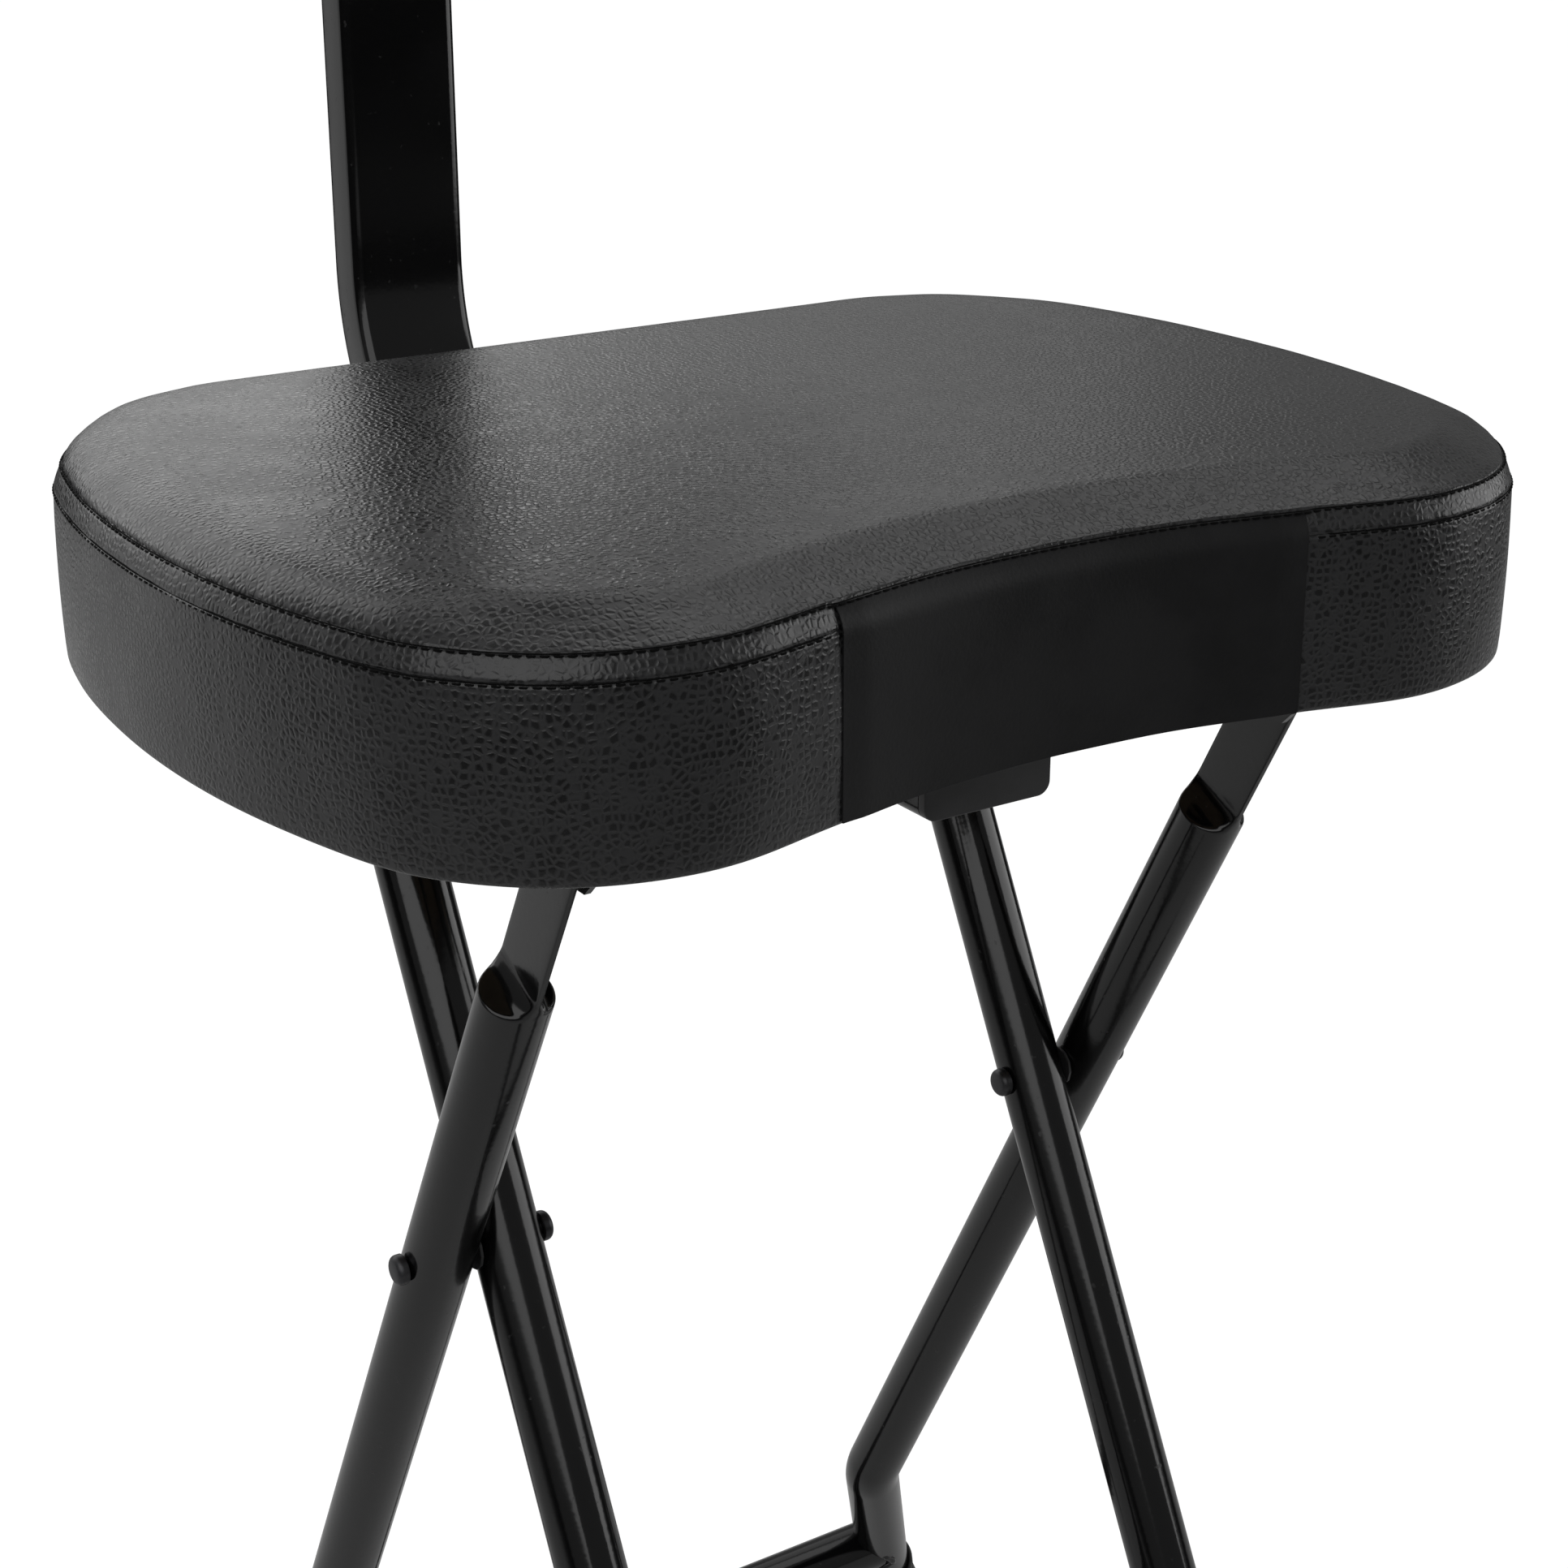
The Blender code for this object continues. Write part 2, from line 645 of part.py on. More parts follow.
def build_ring(name, inner, outer, thickness, origin, direction, parts, material):
    """A flat washer whose lower face lies at the origin."""
    profile = [(inner, thickness), (outer, thickness), (outer, 0), (inner, 0),
               (inner, thickness)]
    return turned(name, profile, origin, direction, parts, material, SMALL_STEPS)


def build_leg_washer(name, side, parts, material):
    """A washer between the two legs at the crossing."""
    inner_face = INNER_LEG_X + TUBE_RADIUS + GAP
    thickness = OUTER_LEG_X - TUBE_RADIUS - GAP - inner_face
    origin = Vector((side * inner_face, CROSSING.y, CROSSING.z))
    return build_ring(name, RIVET_DIAMETER / 2 + GAP, LEG_WASHER_DIAMETER / 2,
                      thickness, origin, Vector((side, 0, 0)), parts, material)


# Padded shapes

def closed_curve(points, count):
    """Resample a smooth closed curve through points to even spacing."""
    total = len(points)
    fine = []
    for i in range(total):
        before, start = points[i - 1], points[i]
        end, after = points[(i + 1) % total], points[(i + 2) % total]
        for step in range(count):
            t = step / count
            fine.append(0.5 * ((2 * start) + (end - before) * t
                               + (2 * before - 5 * start + 4 * end - after) * t ** 2
                               + (3 * start - before - 3 * end + after) * t ** 3))
    lengths = [(fine[(i + 1) % len(fine)] - fine[i]).length for i in range(len(fine))]
    spacing = sum(lengths) / count
    resampled = []
    travelled = 0.0
    for point, following, length in zip(fine, fine[1:] + fine[:1], lengths):
        while len(resampled) < count and len(resampled) * spacing < travelled + length:
            share = (len(resampled) * spacing - travelled) / length
            resampled.append(point.lerp(following, share))
        travelled += length
    return resampled


def offset_outline(points, distance):
    """Move each point of a closed outline outward, listed anticlockwise."""
    moved = []
    for i, point in enumerate(points):
        along = points[(i + 1) % len(points)] - points[i - 1]
        outward = Vector((along.y, -along.x)).normalized()
        moved.append(point + outward * distance)
    return moved


def seat_outline():
    """The seat's outline at the upper seam, from the middle of the front."""
    half = []
    for across, along, lobe in SEAT_OUTLINE_SHARES:
        reach = SEAT_FRONT_REACH if along < 0 else SEAT_BACK_REACH
        half.append(Vector((across * SEAT_HALF_WIDTH, along * reach - lobe * SEAT_LOBE)))
    mirrored = [Vector((-point.x, point.y)) for point in reversed(half)]
    points = [Vector((0, -SEAT_FRONT_REACH))] + half
    points += [Vector((0, SEAT_BACK_REACH))] + mirrored
    return closed_curve(points, SEAT_OUTLINE_STEPS)


def back_outline():
    """The backrest's outline: a rectangle with wide round corners."""
    points = []
    for corner in range(4):
        middle = pi / 4 + corner * pi / 2
        centre = Vector((
            (BACK_WIDTH / 2 - BACK_CORNER) * (1 if cos(middle) > 0 else -1),
            (BACK_HEIGHT / 2 - BACK_CORNER) * (1 if sin(middle) > 0 else -1)))
        for step in range(BACK_CORNER_STEPS + 1):
            angle = pi / 2 * (corner + step / BACK_CORNER_STEPS)
            points.append(centre + Vector((cos(angle), sin(angle))) * BACK_CORNER)
    return closed_curve(points, BACK_OUTLINE_STEPS)


class PadShape:
    """Heights and offsets of a padded cover, measured from its back plane."""

    def __init__(self, outline, lower_seam, upper_seam, crown, crown_rise,
                 shoulder, seam_bulge, side_bulge, base_bulge, hem):
        self.outline = outline
        self.lower_seam = lower_seam
        self.upper_seam = upper_seam
        self.crown = crown
        self.crown_rise = crown_rise
        self.shoulder = shoulder
        self.seam_bulge = seam_bulge
        self.side_bulge = side_bulge
        self.base_bulge = base_bulge
        self.hem = hem

    def side_offset(self, height):
        """Outward offset of the cover's side at a height above its back."""
        stations = [(0, self.base_bulge), (self.bulge_height(), self.side_bulge),
                    (self.lower_seam, self.seam_bulge), (self.upper_seam, 0)]
        for (low, inner), (high, outer) in zip(stations, stations[1:]):
            if height <= high:
                return inner + (outer - inner) * (height - low) / (high - low)
        return 0

    def bulge_height(self):
        """Height at which the side stands out most."""
        return self.lower_seam * SIDE_BULGE_SHARE

    def ring(self, offset, height):
        """A ring of the cover at an offset from the outline."""
        return [Vector((p.x, p.y, height)) for p in offset_outline(self.outline, offset)]

    def top_rings(self, inset):
        """Rings from the upper seam over the shoulder to the crown."""
        rings = []
        rise = self.crown - self.upper_seam
        for step in range(SHOULDER_STEPS + 1):
            turn = pi / 2 * step / SHOULDER_STEPS
            height = self.upper_seam + rise * sin(turn) - inset
            rings.append(self.ring(-self.shoulder * (1 - cos(turn)) - inset, height))
        edge = rings[-1]
        centre = sum(edge, Vector()) / len(edge)
        for share in CROWN_INSET_SHARES:
            height = self.crown + self.crown_rise * (1 - share ** 2) - inset
            ring = [centre.lerp(point, share) for point in edge]
            rings.append([Vector((p.x, p.y, height)) for p in ring])
        return rings

    def cover_rings(self):
        """Rings of the cover's outer skin, from the hem to the crown."""
        low = self.base_bulge
        rings = [self.ring(low - self.hem, 0), self.ring(low - HEM_CHAMFER, 0),
                 self.ring(low, HEM_CHAMFER),
                 self.ring(self.side_bulge, self.bulge_height()),
                 self.ring(self.seam_bulge, self.lower_seam)]
        return rings + self.top_rings(0)


def seat_shape():
    """The seat's padded shape."""
    return PadShape(seat_outline(), SEAT_LOWER_SEAM, SEAT_UPPER_SEAM, SEAT_CROWN,
                    SEAT_CROWN_RISE, SEAT_SHOULDER, SEAT_SEAM_BULGE,
                    SEAT_SIDE_BULGE, SEAT_BASE_BULGE, SEAT_HEM)


def back_shape():
    """The backrest's padded shape."""
    return PadShape(back_outline(), BACK_LOWER_SEAM, BACK_UPPER_SEAM, BACK_CROWN,
                    BACK_CROWN_RISE, BACK_SHOULDER, BACK_SEAM_BULGE,
                    BACK_SIDE_BULGE, BACK_BASE_BULGE, BACK_HEM)


def seat_place():
    """Matrix that sets a pad flat, crown up, at the seat's place."""
    return Matrix.Translation(SEAT_BASE)


def back_place():
    """Matrix that stands a pad up, crown to the front, on the back bar."""
    return Matrix.Translation(BACK_CENTRE) @ Matrix.Rotation(pi / 2, 4, "X")


def build_cover(name, shape, place, parts, material):
    """The cover: a skin with a turned-in hem, open at its back."""
    bm = loft(shape.cover_rings(), close_ends=False)
    bm.verts.ensure_lookup_table()
    bm.faces.new(bm.verts[-len(shape.outline):])
    cover = add_object(name, mesh_from_bmesh(name, bm), parts, material)
    cover.matrix_world = place
    skin = cover.modifiers.new("Skin", "SOLIDIFY")
    skin.thickness = COVER_THICKNESS
    skin.offset = -1
    skin.use_even_offset = True
    return cover


def build_foam(name, shape, base, place, parts, material):
    """The foam block inside the cover, above the board."""
    inset = COVER_THICKNESS + GAP
    low = shape.side_offset(base) - inset
    rings = [shape.ring(low, base),
             shape.ring(shape.side_bulge - inset, shape.bulge_height()),
             shape.ring(shape.seam_bulge - inset, shape.lower_seam)]
    rings += shape.top_rings(inset)
    foam = add_object(name, mesh_from_bmesh(name, loft(rings)), parts, material)
    foam.matrix_world = place
    return foam


def build_board(name, shape, thickness, place, parts, material):
    """The plywood board under the foam, inside the hem."""
    inset = COVER_THICKNESS + GAP
    bottom = COVER_THICKNESS + GAP
    edge = thickness * BOARD_EDGE_SHARE
    side = shape.base_bulge - inset
    rings = [shape.ring(side - edge, bottom), shape.ring(side, bottom + edge),
             shape.ring(side, bottom + thickness)]
    board = add_object(name, mesh_from_bmesh(name, loft(rings)), parts, material)
    board.matrix_world = place
    return board


def front_stations(outline, half_width):
    """Where a panel's columns meet the outline's front: an index and a share."""
    count = len(outline)
    stations = []
    for step in range(-(count // 4), count // 4):
        index = step % count
        x = outline[index].x
        following = outline[(index + 1) % count].x
        if abs(x) < half_width:
            stations.append((index, 0.0))
        for limit in (-half_width, half_width):
            if x < limit <= following:
                stations.append((index, (limit - x) / (following - x)))
    return stations


def build_front_panel(name, shape, place, parts, material):
    """The smooth panel sewn over the hollow front, seam to lower edge."""
    lift = GAP + FRONT_PANEL_THICKNESS
    rows = [HEM_CHAMFER + (shape.lower_seam - HEM_CHAMFER) * step / FRONT_PANEL_STEPS
            for step in range(FRONT_PANEL_STEPS + 1)]
    rows.append(shape.upper_seam)
    stations = front_stations(shape.outline, FRONT_PANEL_HALF_WIDTH)
    bm = bmesh.new()
    grid = []
    for height in rows:
        ring = shape.ring(shape.side_offset(height) + lift, height)
        ends = ring[1:] + ring[:1]
        grid.append([bm.verts.new(ring[i].lerp(ends[i], share)) for i, share in stations])
    for lower, upper in zip(grid, grid[1:]):
        for i in range(len(lower) - 1):
            bm.faces.new((lower[i], lower[i + 1], upper[i + 1], upper[i]))
    mesh = bpy.data.meshes.new(name)
    bm.to_mesh(mesh)
    bm.free()
    panel = add_object(name, mesh, parts, material)
    panel.matrix_world = place
    skin = panel.modifiers.new("Skin", "SOLIDIFY")
    skin.thickness = FRONT_PANEL_THICKNESS
    skin.offset = -1
    return panel


# Fittings under the seat

def screw_points():
    """Places of the screws under the seat board, by name."""
    points = {}
    bracket_x = bracket_face() - BRACKET_SHEET - BRACKET_FLANGE * FLANGE_SCREW_SHARE
    sleeve_x = sleeve_half_width() + SLEEVE_FLANGE * FLANGE_SCREW_SHARE
    for side_name, side in SIDES.items():
        for end_name, share in BRACKET_SCREW_SHARES.items():
            y = CROSSING.y + BRACKET_FRONT + BRACKET_LENGTH * share
            points[f"bracket_screw_{side_name}_{end_name}"] = (side * bracket_x, y, BRACKET_SHEET)
        for end_name, y in zip(("front", "rear"), saddle_screw_ys()):
            points[f"saddle_screw_{side_name}_{end_name}"] = (
                side * SADDLE_X, y, SADDLE_FOOT_THICKNESS)
        for end_name, y in (("front", SLEEVE_FRONT_Y), ("rear", SLEEVE_REAR_Y)):
            points[f"sleeve_screw_{side_name}_{end_name}"] = (
                side * sleeve_x, CROSSING.y + y, SLEEVE_FLANGE_THICKNESS)
    return points


def screw_hole_mesh(name, x, y, sheet):
    """A hole for one board screw, up through a flange and into the board."""
    bottom = Vector((x, y, MOUNTING_HEIGHT - sheet - OVERRUN))
    top = Vector((x, y, MOUNTING_HEIGHT + GAP + BOARD_SCREW_BITE + GAP))
    return cylinder_mesh(name, BOARD_SCREW_DIAMETER / 2 + GAP, bottom, top, SMALL_STEPS)


def build_screw(name, x, y, sheet, parts, material):
    """A pan-head screw, its head under a flange of the given thickness."""
    head = BOARD_SCREW_HEAD_DIAMETER / 2
    shank = BOARD_SCREW_DIAMETER / 2
    seat = MOUNTING_HEIGHT - sheet - GAP
    reach = sheet + GAP + GAP + BOARD_SCREW_BITE
    profile = [(shank * out, reach - BOARD_SCREW_TIP * down)
               for out, down in BOARD_SCREW_TIP_SHARES]
    profile += [(shank, 0), (head, 0)]
    profile += [(head * out, -BOARD_SCREW_HEAD_HEIGHT * down) for out, down in PAN_HEAD_SHARES]
    profile += [(0, -BOARD_SCREW_HEAD_HEIGHT)]
    return turned(name, profile, Vector((x, y, seat)), Vector((0, 0, 1)), parts,
                  material, SMALL_STEPS)


def bracket_face():
    """Distance from the middle plane to a bracket's outer face."""
    return (OUTER_LEG_X - TAB_THICKNESS / 2 - GAP
            - PIVOT_WASHER_THICKNESS - GAP)


def build_bracket(name, side, parts, cutters, material):
    """An angle bracket that carries the seat on a leg's tab."""
    outer = bracket_face()
    top = MOUNTING_HEIGHT
    low = MOUNTING_HEIGHT - BRACKET_DEPTH
    sheet = BRACKET_SHEET
    profile = [
        (outer, low),
        (outer, top),
        (outer - sheet - BRACKET_FLANGE, top),
        (outer - sheet - BRACKET_FLANGE, top - sheet),
        (outer - 2 * sheet, top - sheet),
        (outer - sheet, top - 2 * sheet),
        (outer - sheet, low),
    ]
    middle = CROSSING.y + BRACKET_FRONT + BRACKET_LENGTH / 2
    mesh = extrude_profile(name, profile,
                           lambda u, v, w: Vector((side * u, middle + w, v)),
                           BRACKET_LENGTH)
    bracket = add_object(name, mesh, parts, material)
    pivot = Vector((side * (outer - sheet / 2), SEAT_PIVOT.y, SEAT_PIVOT.z))
    cut(bracket, hole_along_x(name + "_pivot_hole", pivot,
                              PIVOT_BOLT_DIAMETER / 2 + GAP, sheet + OVERRUN, cutters))
    for end_y in (0, 1):
        y = middle + (end_y - 0.5) * BRACKET_LENGTH
        corner = corner_cutter(name + "_corner_" + str(end_y), side * (outer - sheet / 2),
                               y, low, 1 if end_y else -1, cutters)
        cut(bracket, corner)
    return bracket


def corner_cutter(name, x, y, z, toward, cutters):
    """A wedge that takes a lower corner off a bracket's upright."""
    reach = BRACKET_CORNER
    over = OVERRUN
    points = [(y - toward * reach, z - over), (y - toward * reach, z), (y, z + reach),
              (y + toward * over, z + reach), (y + toward * over, z - over)]
    mesh = extrude_profile(name, points, lambda u, v, w: Vector((x + w, u, v)),
                           BRACKET_SHEET + 2 * over)
    return make_cutter(name, mesh, cutters)


def build_pivot_bolt(name, side, parts, material):
    """The bolt that hinges a seat bracket to a leg's tab."""
    outer_face = OUTER_LEG_X + TAB_THICKNESS / 2 + GAP
    tail = bracket_face() - BRACKET_SHEET - GAP - PIVOT_NUT_HEIGHT - PIVOT_BOLT_TAIL
    shank = PIVOT_BOLT_DIAMETER / 2
    head = PIVOT_HEAD_DIAMETER / 2
    length = outer_face - tail
    profile = [(0, length + PIVOT_HEAD_HEIGHT)]
    profile += [(head * out, length + PIVOT_HEAD_HEIGHT * high)
                for out, high in PIVOT_HEAD_SHARES]
    profile += [(head, length), (shank, length), (shank, 0), (0, 0)]
    origin = Vector((side * tail, SEAT_PIVOT.y, SEAT_PIVOT.z))
    return turned(name, profile, origin, Vector((side, 0, 0)), parts, material,
                  SMALL_STEPS)


def build_pivot_nut(name, side, parts, cutters, material):
    """The nut on the inner end of a pivot bolt."""
    far = bracket_face() - BRACKET_SHEET - GAP
    near = far - PIVOT_NUT_HEIGHT
    start = Vector((side * near, SEAT_PIVOT.y, SEAT_PIVOT.z))
    end = Vector((side * far, SEAT_PIVOT.y, SEAT_PIVOT.z))
    radius = PIVOT_NUT_ACROSS / 2 / cos(pi / HEX_STEPS)
    nut = add_object(name, cylinder_mesh(name, radius, start, end, HEX_STEPS), parts, material)
    cut(nut, hole_along_x(name + "_hole", (start + end) / 2,
                          PIVOT_BOLT_DIAMETER / 2 + GAP, PIVOT_NUT_HEIGHT, cutters))
    return nut


def build_pivot_washer(name, side, parts, material):
    """The washer between a leg's tab and its seat bracket."""
    origin = Vector((side * (bracket_face() + GAP), SEAT_PIVOT.y, SEAT_PIVOT.z))
    return build_ring(name, PIVOT_BOLT_DIAMETER / 2 + GAP, PIVOT_WASHER_DIAMETER / 2,
                      PIVOT_WASHER_THICKNESS, origin, Vector((side, 0, 0)), parts,
                      material)


def saddle_half_length():
    """Half the length of a saddle's body, front to rear."""
    return TUBE_RADIUS + RUNNING_GAP + SADDLE_WALL


def saddle_screw_ys():
    """Front and rear screw places of a saddle."""
    reach = saddle_half_length() + SADDLE_FOOT / 2
    return TOP_BAR.y - reach, TOP_BAR.y + reach


def build_saddle(name, side, parts, material):
    """A moulded saddle that hooks over the top bar of the inner frame."""
    radius = TUBE_RADIUS + RUNNING_GAP
    half = saddle_half_length()
    top = MOUNTING_HEIGHT
    foot = SADDLE_FOOT
    under = top - SADDLE_FOOT_THICKNESS
    arc_start = SADDLE_LIP_ANGLE
    profile = [(half + foot, under), (half + foot, top), (-half - foot, top),
               (-half - foot, under), (-half, under)]
    lip_y = -radius * cos(arc_start)
    lip_z = TOP_BAR.z + radius * sin(arc_start)
    profile += [(-half, lip_z + SADDLE_WALL * SADDLE_LIP_HEIGHT_SHARE),
                (lip_y - SADDLE_WALL * SADDLE_LIP_WIDTH_SHARE, lip_z)]
    for step in range(SADDLE_ARC_STEPS + 1):
        angle = pi - arc_start + (arc_start - pi) * step / SADDLE_ARC_STEPS
        profile.append((radius * cos(angle), TOP_BAR.z + radius * sin(angle)))
    profile += [(radius, TOP_BAR.z - SADDLE_REAR_DROP),
                (half, TOP_BAR.z - SADDLE_REAR_DROP), (half, under)]
    mesh = extrude_profile(name, profile,
                           lambda u, v, w: Vector((side * SADDLE_X + w, TOP_BAR.y + u, v)),
                           SADDLE_WIDTH)
    return add_object(name, mesh, parts, material)


# Back bar

def bar_section(width, thickness, corner, height=0.0):
    """Rounded rectangle across the bar, as points on a plane."""
    points = []
    for index, (sx, sy) in enumerate(((1, 1), (-1, 1), (-1, -1), (1, -1))):
        for step in range(BAR_CORNER_STEPS + 1):
            angle = pi / 2 * (index + step / BAR_CORNER_STEPS)
            points.append(Vector((sx * (width / 2 - corner) + corner * cos(angle),
                                  sy * (thickness / 2 - corner) + corner * sin(angle),
                                  height)))
    return points


def bar_path():
    """Axis of the bar from its front end, under the seat, to its top."""
    upright_y = CROSSING.y + BAR_UPRIGHT_FRONT + BAR_THICKNESS / 2
    start = Vector((0, CROSSING.y + BAR_FRONT + BAR_CAP_THICKNESS + GAP, BAR_MIDDLE))
    corner = Vector((0, upright_y, BAR_MIDDLE))
    end = Vector((0, upright_y, CROSSING.z + BAR_TOP_RISE))
    return bend_path(start, corner, end, BAR_BEND_RADIUS, BAR_BEND_STEPS)


def build_bar(name, parts, cutters, material):
    """The bent rectangular tube that carries the backrest."""
    path = bar_path()
    rings = []
    for i, place in enumerate(path):
        before = path[max(i - 1, 0)]
        after = path[min(i + 1, len(path) - 1)]
        along = (after - before).normalized()
        stretch = 1.0
        if 0 < i < len(path) - 1:
            half_turn = (place - before).angle(after - place) / 2
            stretch = 1 / cos(half_turn)
        across = Vector((1, 0, 0))
        up = across.cross(along)
        section = bar_section(BAR_WIDTH, BAR_THICKNESS, BAR_CORNER)
        rings.append([place + across * p.x + up * p.y * stretch for p in section])
    mesh = mesh_from_bmesh(name, loft(rings, close_ends=False))
    bar = add_object(name, mesh, parts, material)
    wall = bar.modifiers.new("Wall", "SOLIDIFY")
    wall.thickness = BAR_WALL
    wall.offset = -1
    wall.use_even_offset = True
    for index, z in enumerate(back_screw_heights()):
        y = path[-1].y
        reach = Vector((0, BAR_THICKNESS, 0))
        centre = Vector((0, y, z))
        hole = cylinder_mesh(name + "_hole", BACK_SCREW_DIAMETER / 2 + GAP,
                             centre - reach, centre + reach, SMALL_STEPS)
        cut(bar, make_cutter(f"{name}_hole_{index}", hole, cutters))
    return bar


def back_screw_heights():
    """Heights of the two screws that hold the backrest to the bar."""
    return (BACK_CENTRE.z - BACK_SCREW_SPACING / 2, BACK_CENTRE.z + BACK_SCREW_SPACING / 2)


def build_bar_cap(name, origin, direction, parts, material):
    """A plastic cap in an open end of the bar; local Z points out."""
    stem_width = BAR_WIDTH - 2 * (BAR_WALL + GAP)
    stem_thickness = BAR_THICKNESS - 2 * (BAR_WALL + GAP)
    stem_corner = BAR_CORNER - BAR_WALL
    edge = BAR_CAP_EDGE
    rings = [
        bar_section(stem_width, stem_thickness, stem_corner, -BAR_CAP_STEM),
        bar_section(stem_width, stem_thickness, stem_corner, GAP),
        bar_section(BAR_WIDTH, BAR_THICKNESS, BAR_CORNER, GAP),
        bar_section(BAR_WIDTH, BAR_THICKNESS, BAR_CORNER, GAP + BAR_CAP_THICKNESS - edge),
        bar_section(BAR_WIDTH - 2 * edge, BAR_THICKNESS - 2 * edge, BAR_CORNER - edge,
                    GAP + BAR_CAP_THICKNESS),
    ]
    cap = add_object(name, mesh_from_bmesh(name, loft(rings)), parts, material)
    cap.matrix_world = axis_matrix(origin, direction)
    return cap


def sleeve_half_width():
    """Half the outer width of a sleeve round the bar."""
    return BAR_WIDTH / 2 + RUNNING_GAP + SLEEVE_WALL


def build_sleeve(name, y, parts, cutters, material, boss=False):
    """A box-section sleeve under the board that the bar slides in."""
    half = sleeve_half_width()
    low = BAR_UNDERSIDE - RUNNING_GAP - SLEEVE_WALL
    top = MOUNTING_HEIGHT
    flange = half + SLEEVE_FLANGE
    under = top - SLEEVE_FLANGE_THICKNESS
    edge = SLEEVE_CHAMFER
    profile = [(flange, under), (flange, top), (-flange, top), (-flange, under),
               (-half, under), (-half, low + edge), (-half + edge, low),
               (half - edge, low), (half, low + edge), (half, under)]
    middle = CROSSING.y + y
    mesh = extrude_profile(name, profile, lambda u, v, w: Vector((u, middle + w, v)),
                           SLEEVE_LENGTH)
    sleeve = add_object(name, mesh, parts, material)
    if boss:
        nut_top = Vector((0, middle, low + SLEEVE_WALL / 2))
        nut_end = Vector((0, middle, low - SLEEVE_BOSS_HEIGHT))
        mesh = cylinder_mesh(name + "_boss", SLEEVE_BOSS_DIAMETER / 2, nut_end, nut_top,
                             ROUND_STEPS)
        join = sleeve.modifiers.new("Boss", "BOOLEAN")
        join.operation = "UNION"
        join.solver = "EXACT"
        join.object = make_cutter(name + "_boss", mesh, cutters)
        stud = cylinder_mesh(name + "_stud_hole", KNOB_STUD_DIAMETER / 2 + GAP,
                             nut_end - Vector((0, 0, OVERRUN)),
                             nut_top + Vector((0, 0, SLEEVE_WALL)), ROUND_STEPS)
        cut(sleeve, make_cutter(name + "_stud_hole", stud, cutters))
    points = bar_section(BAR_WIDTH + 2 * RUNNING_GAP, BAR_THICKNESS + 2 * RUNNING_GAP,
                         BAR_CORNER)
    reach = SLEEVE_LENGTH + 2 * OVERRUN
    bore = extrude_profile(name + "_bore", [(p.x, p.y) for p in points],
                           lambda u, v, w: Vector((u, middle + w, BAR_MIDDLE + v)), reach)
    cut(sleeve, make_cutter(name + "_bore", bore, cutters))
    return sleeve


def build_knob(name, parts, material):
    """The star knob and its stud, turned up against the bar."""
    stud_top = BAR_UNDERSIDE - GAP
    boss_low = BAR_UNDERSIDE - RUNNING_GAP - SLEEVE_WALL - SLEEVE_BOSS_HEIGHT
    neck_top = boss_low - 2 * GAP
    origin = Vector((0, CROSSING.y + SLEEVE_REAR_Y, neck_top))
    count = KNOB_LOBE_COUNT * KNOB_LOBE_STEPS
    angles = [2 * pi * i / count for i in range(count)]

    def star(radius, height):
        ripple = [radius * (1 + KNOB_LOBE_SHARE * cos(KNOB_LOBE_COUNT * a)) for a in angles]
        return [Vector((r * cos(a), r * sin(a), height)) for r, a in zip(ripple, angles)]

    def circle(radius, height):
        return [Vector((radius * cos(a), radius * sin(a), height)) for a in angles]

    rim = KNOB_DIAMETER / 2 / (1 + KNOB_LOBE_SHARE)
    edge = KNOB_EDGE
    rings = [
        star(rim - edge, -KNOB_NECK - KNOB_HEIGHT),
        star(rim, -KNOB_NECK - KNOB_HEIGHT + edge),
        star(rim, -KNOB_NECK - edge),
        star(rim - edge, -KNOB_NECK),
        circle(KNOB_NECK_DIAMETER / 2, -KNOB_NECK),
        circle(KNOB_NECK_DIAMETER / 2, 0),
        circle(KNOB_STUD_DIAMETER / 2, 0),
        circle(KNOB_STUD_DIAMETER / 2, stud_top - neck_top),
    ]
    knob = add_object(name, mesh_from_bmesh(name, loft(rings)), parts, material)
    knob.matrix_world = Matrix.Translation(origin)
    return knob


def build_back_screw(name, z, parts, material):
    """A screw through the bar into the backrest's board."""
    head = BACK_SCREW_HEAD_DIAMETER / 2
    shank = BACK_SCREW_DIAMETER / 2
    rear = CROSSING.y + BAR_UPRIGHT_FRONT + BAR_THICKNESS + GAP
    reach = rear - BACK_PLANE + COVER_THICKNESS + GAP + BACK_SCREW_BITE
    profile = [(0, reach), (shank, reach - shank), (shank, 0), (head, 0)]
    profile += [(head * out, -BACK_SCREW_HEAD_HEIGHT * down) for out, down in PAN_HEAD_SHARES]
    profile += [(0, -BACK_SCREW_HEAD_HEIGHT)]
    return turned(name, profile, Vector((0, rear, z)), Vector((0, -1, 0)), parts,
                  material, SMALL_STEPS)


def back_screw_holes(cutters):
    """Blind holes for the two screws in the backrest's board."""
    meshes = []
    bottom = BACK_PLANE - COVER_THICKNESS - GAP - BACK_SCREW_BITE - GAP
    for z in back_screw_heights():
        meshes.append(cylinder_mesh("back_screw_hole", BACK_SCREW_DIAMETER / 2 + GAP,
                                    Vector((0, bottom, z)),
                                    Vector((0, BACK_PLANE + OVERRUN, z)), SMALL_STEPS))
    return make_cutter("back_screw_holes", merge_meshes("back_screw_holes", meshes), cutters)


# The whole stool

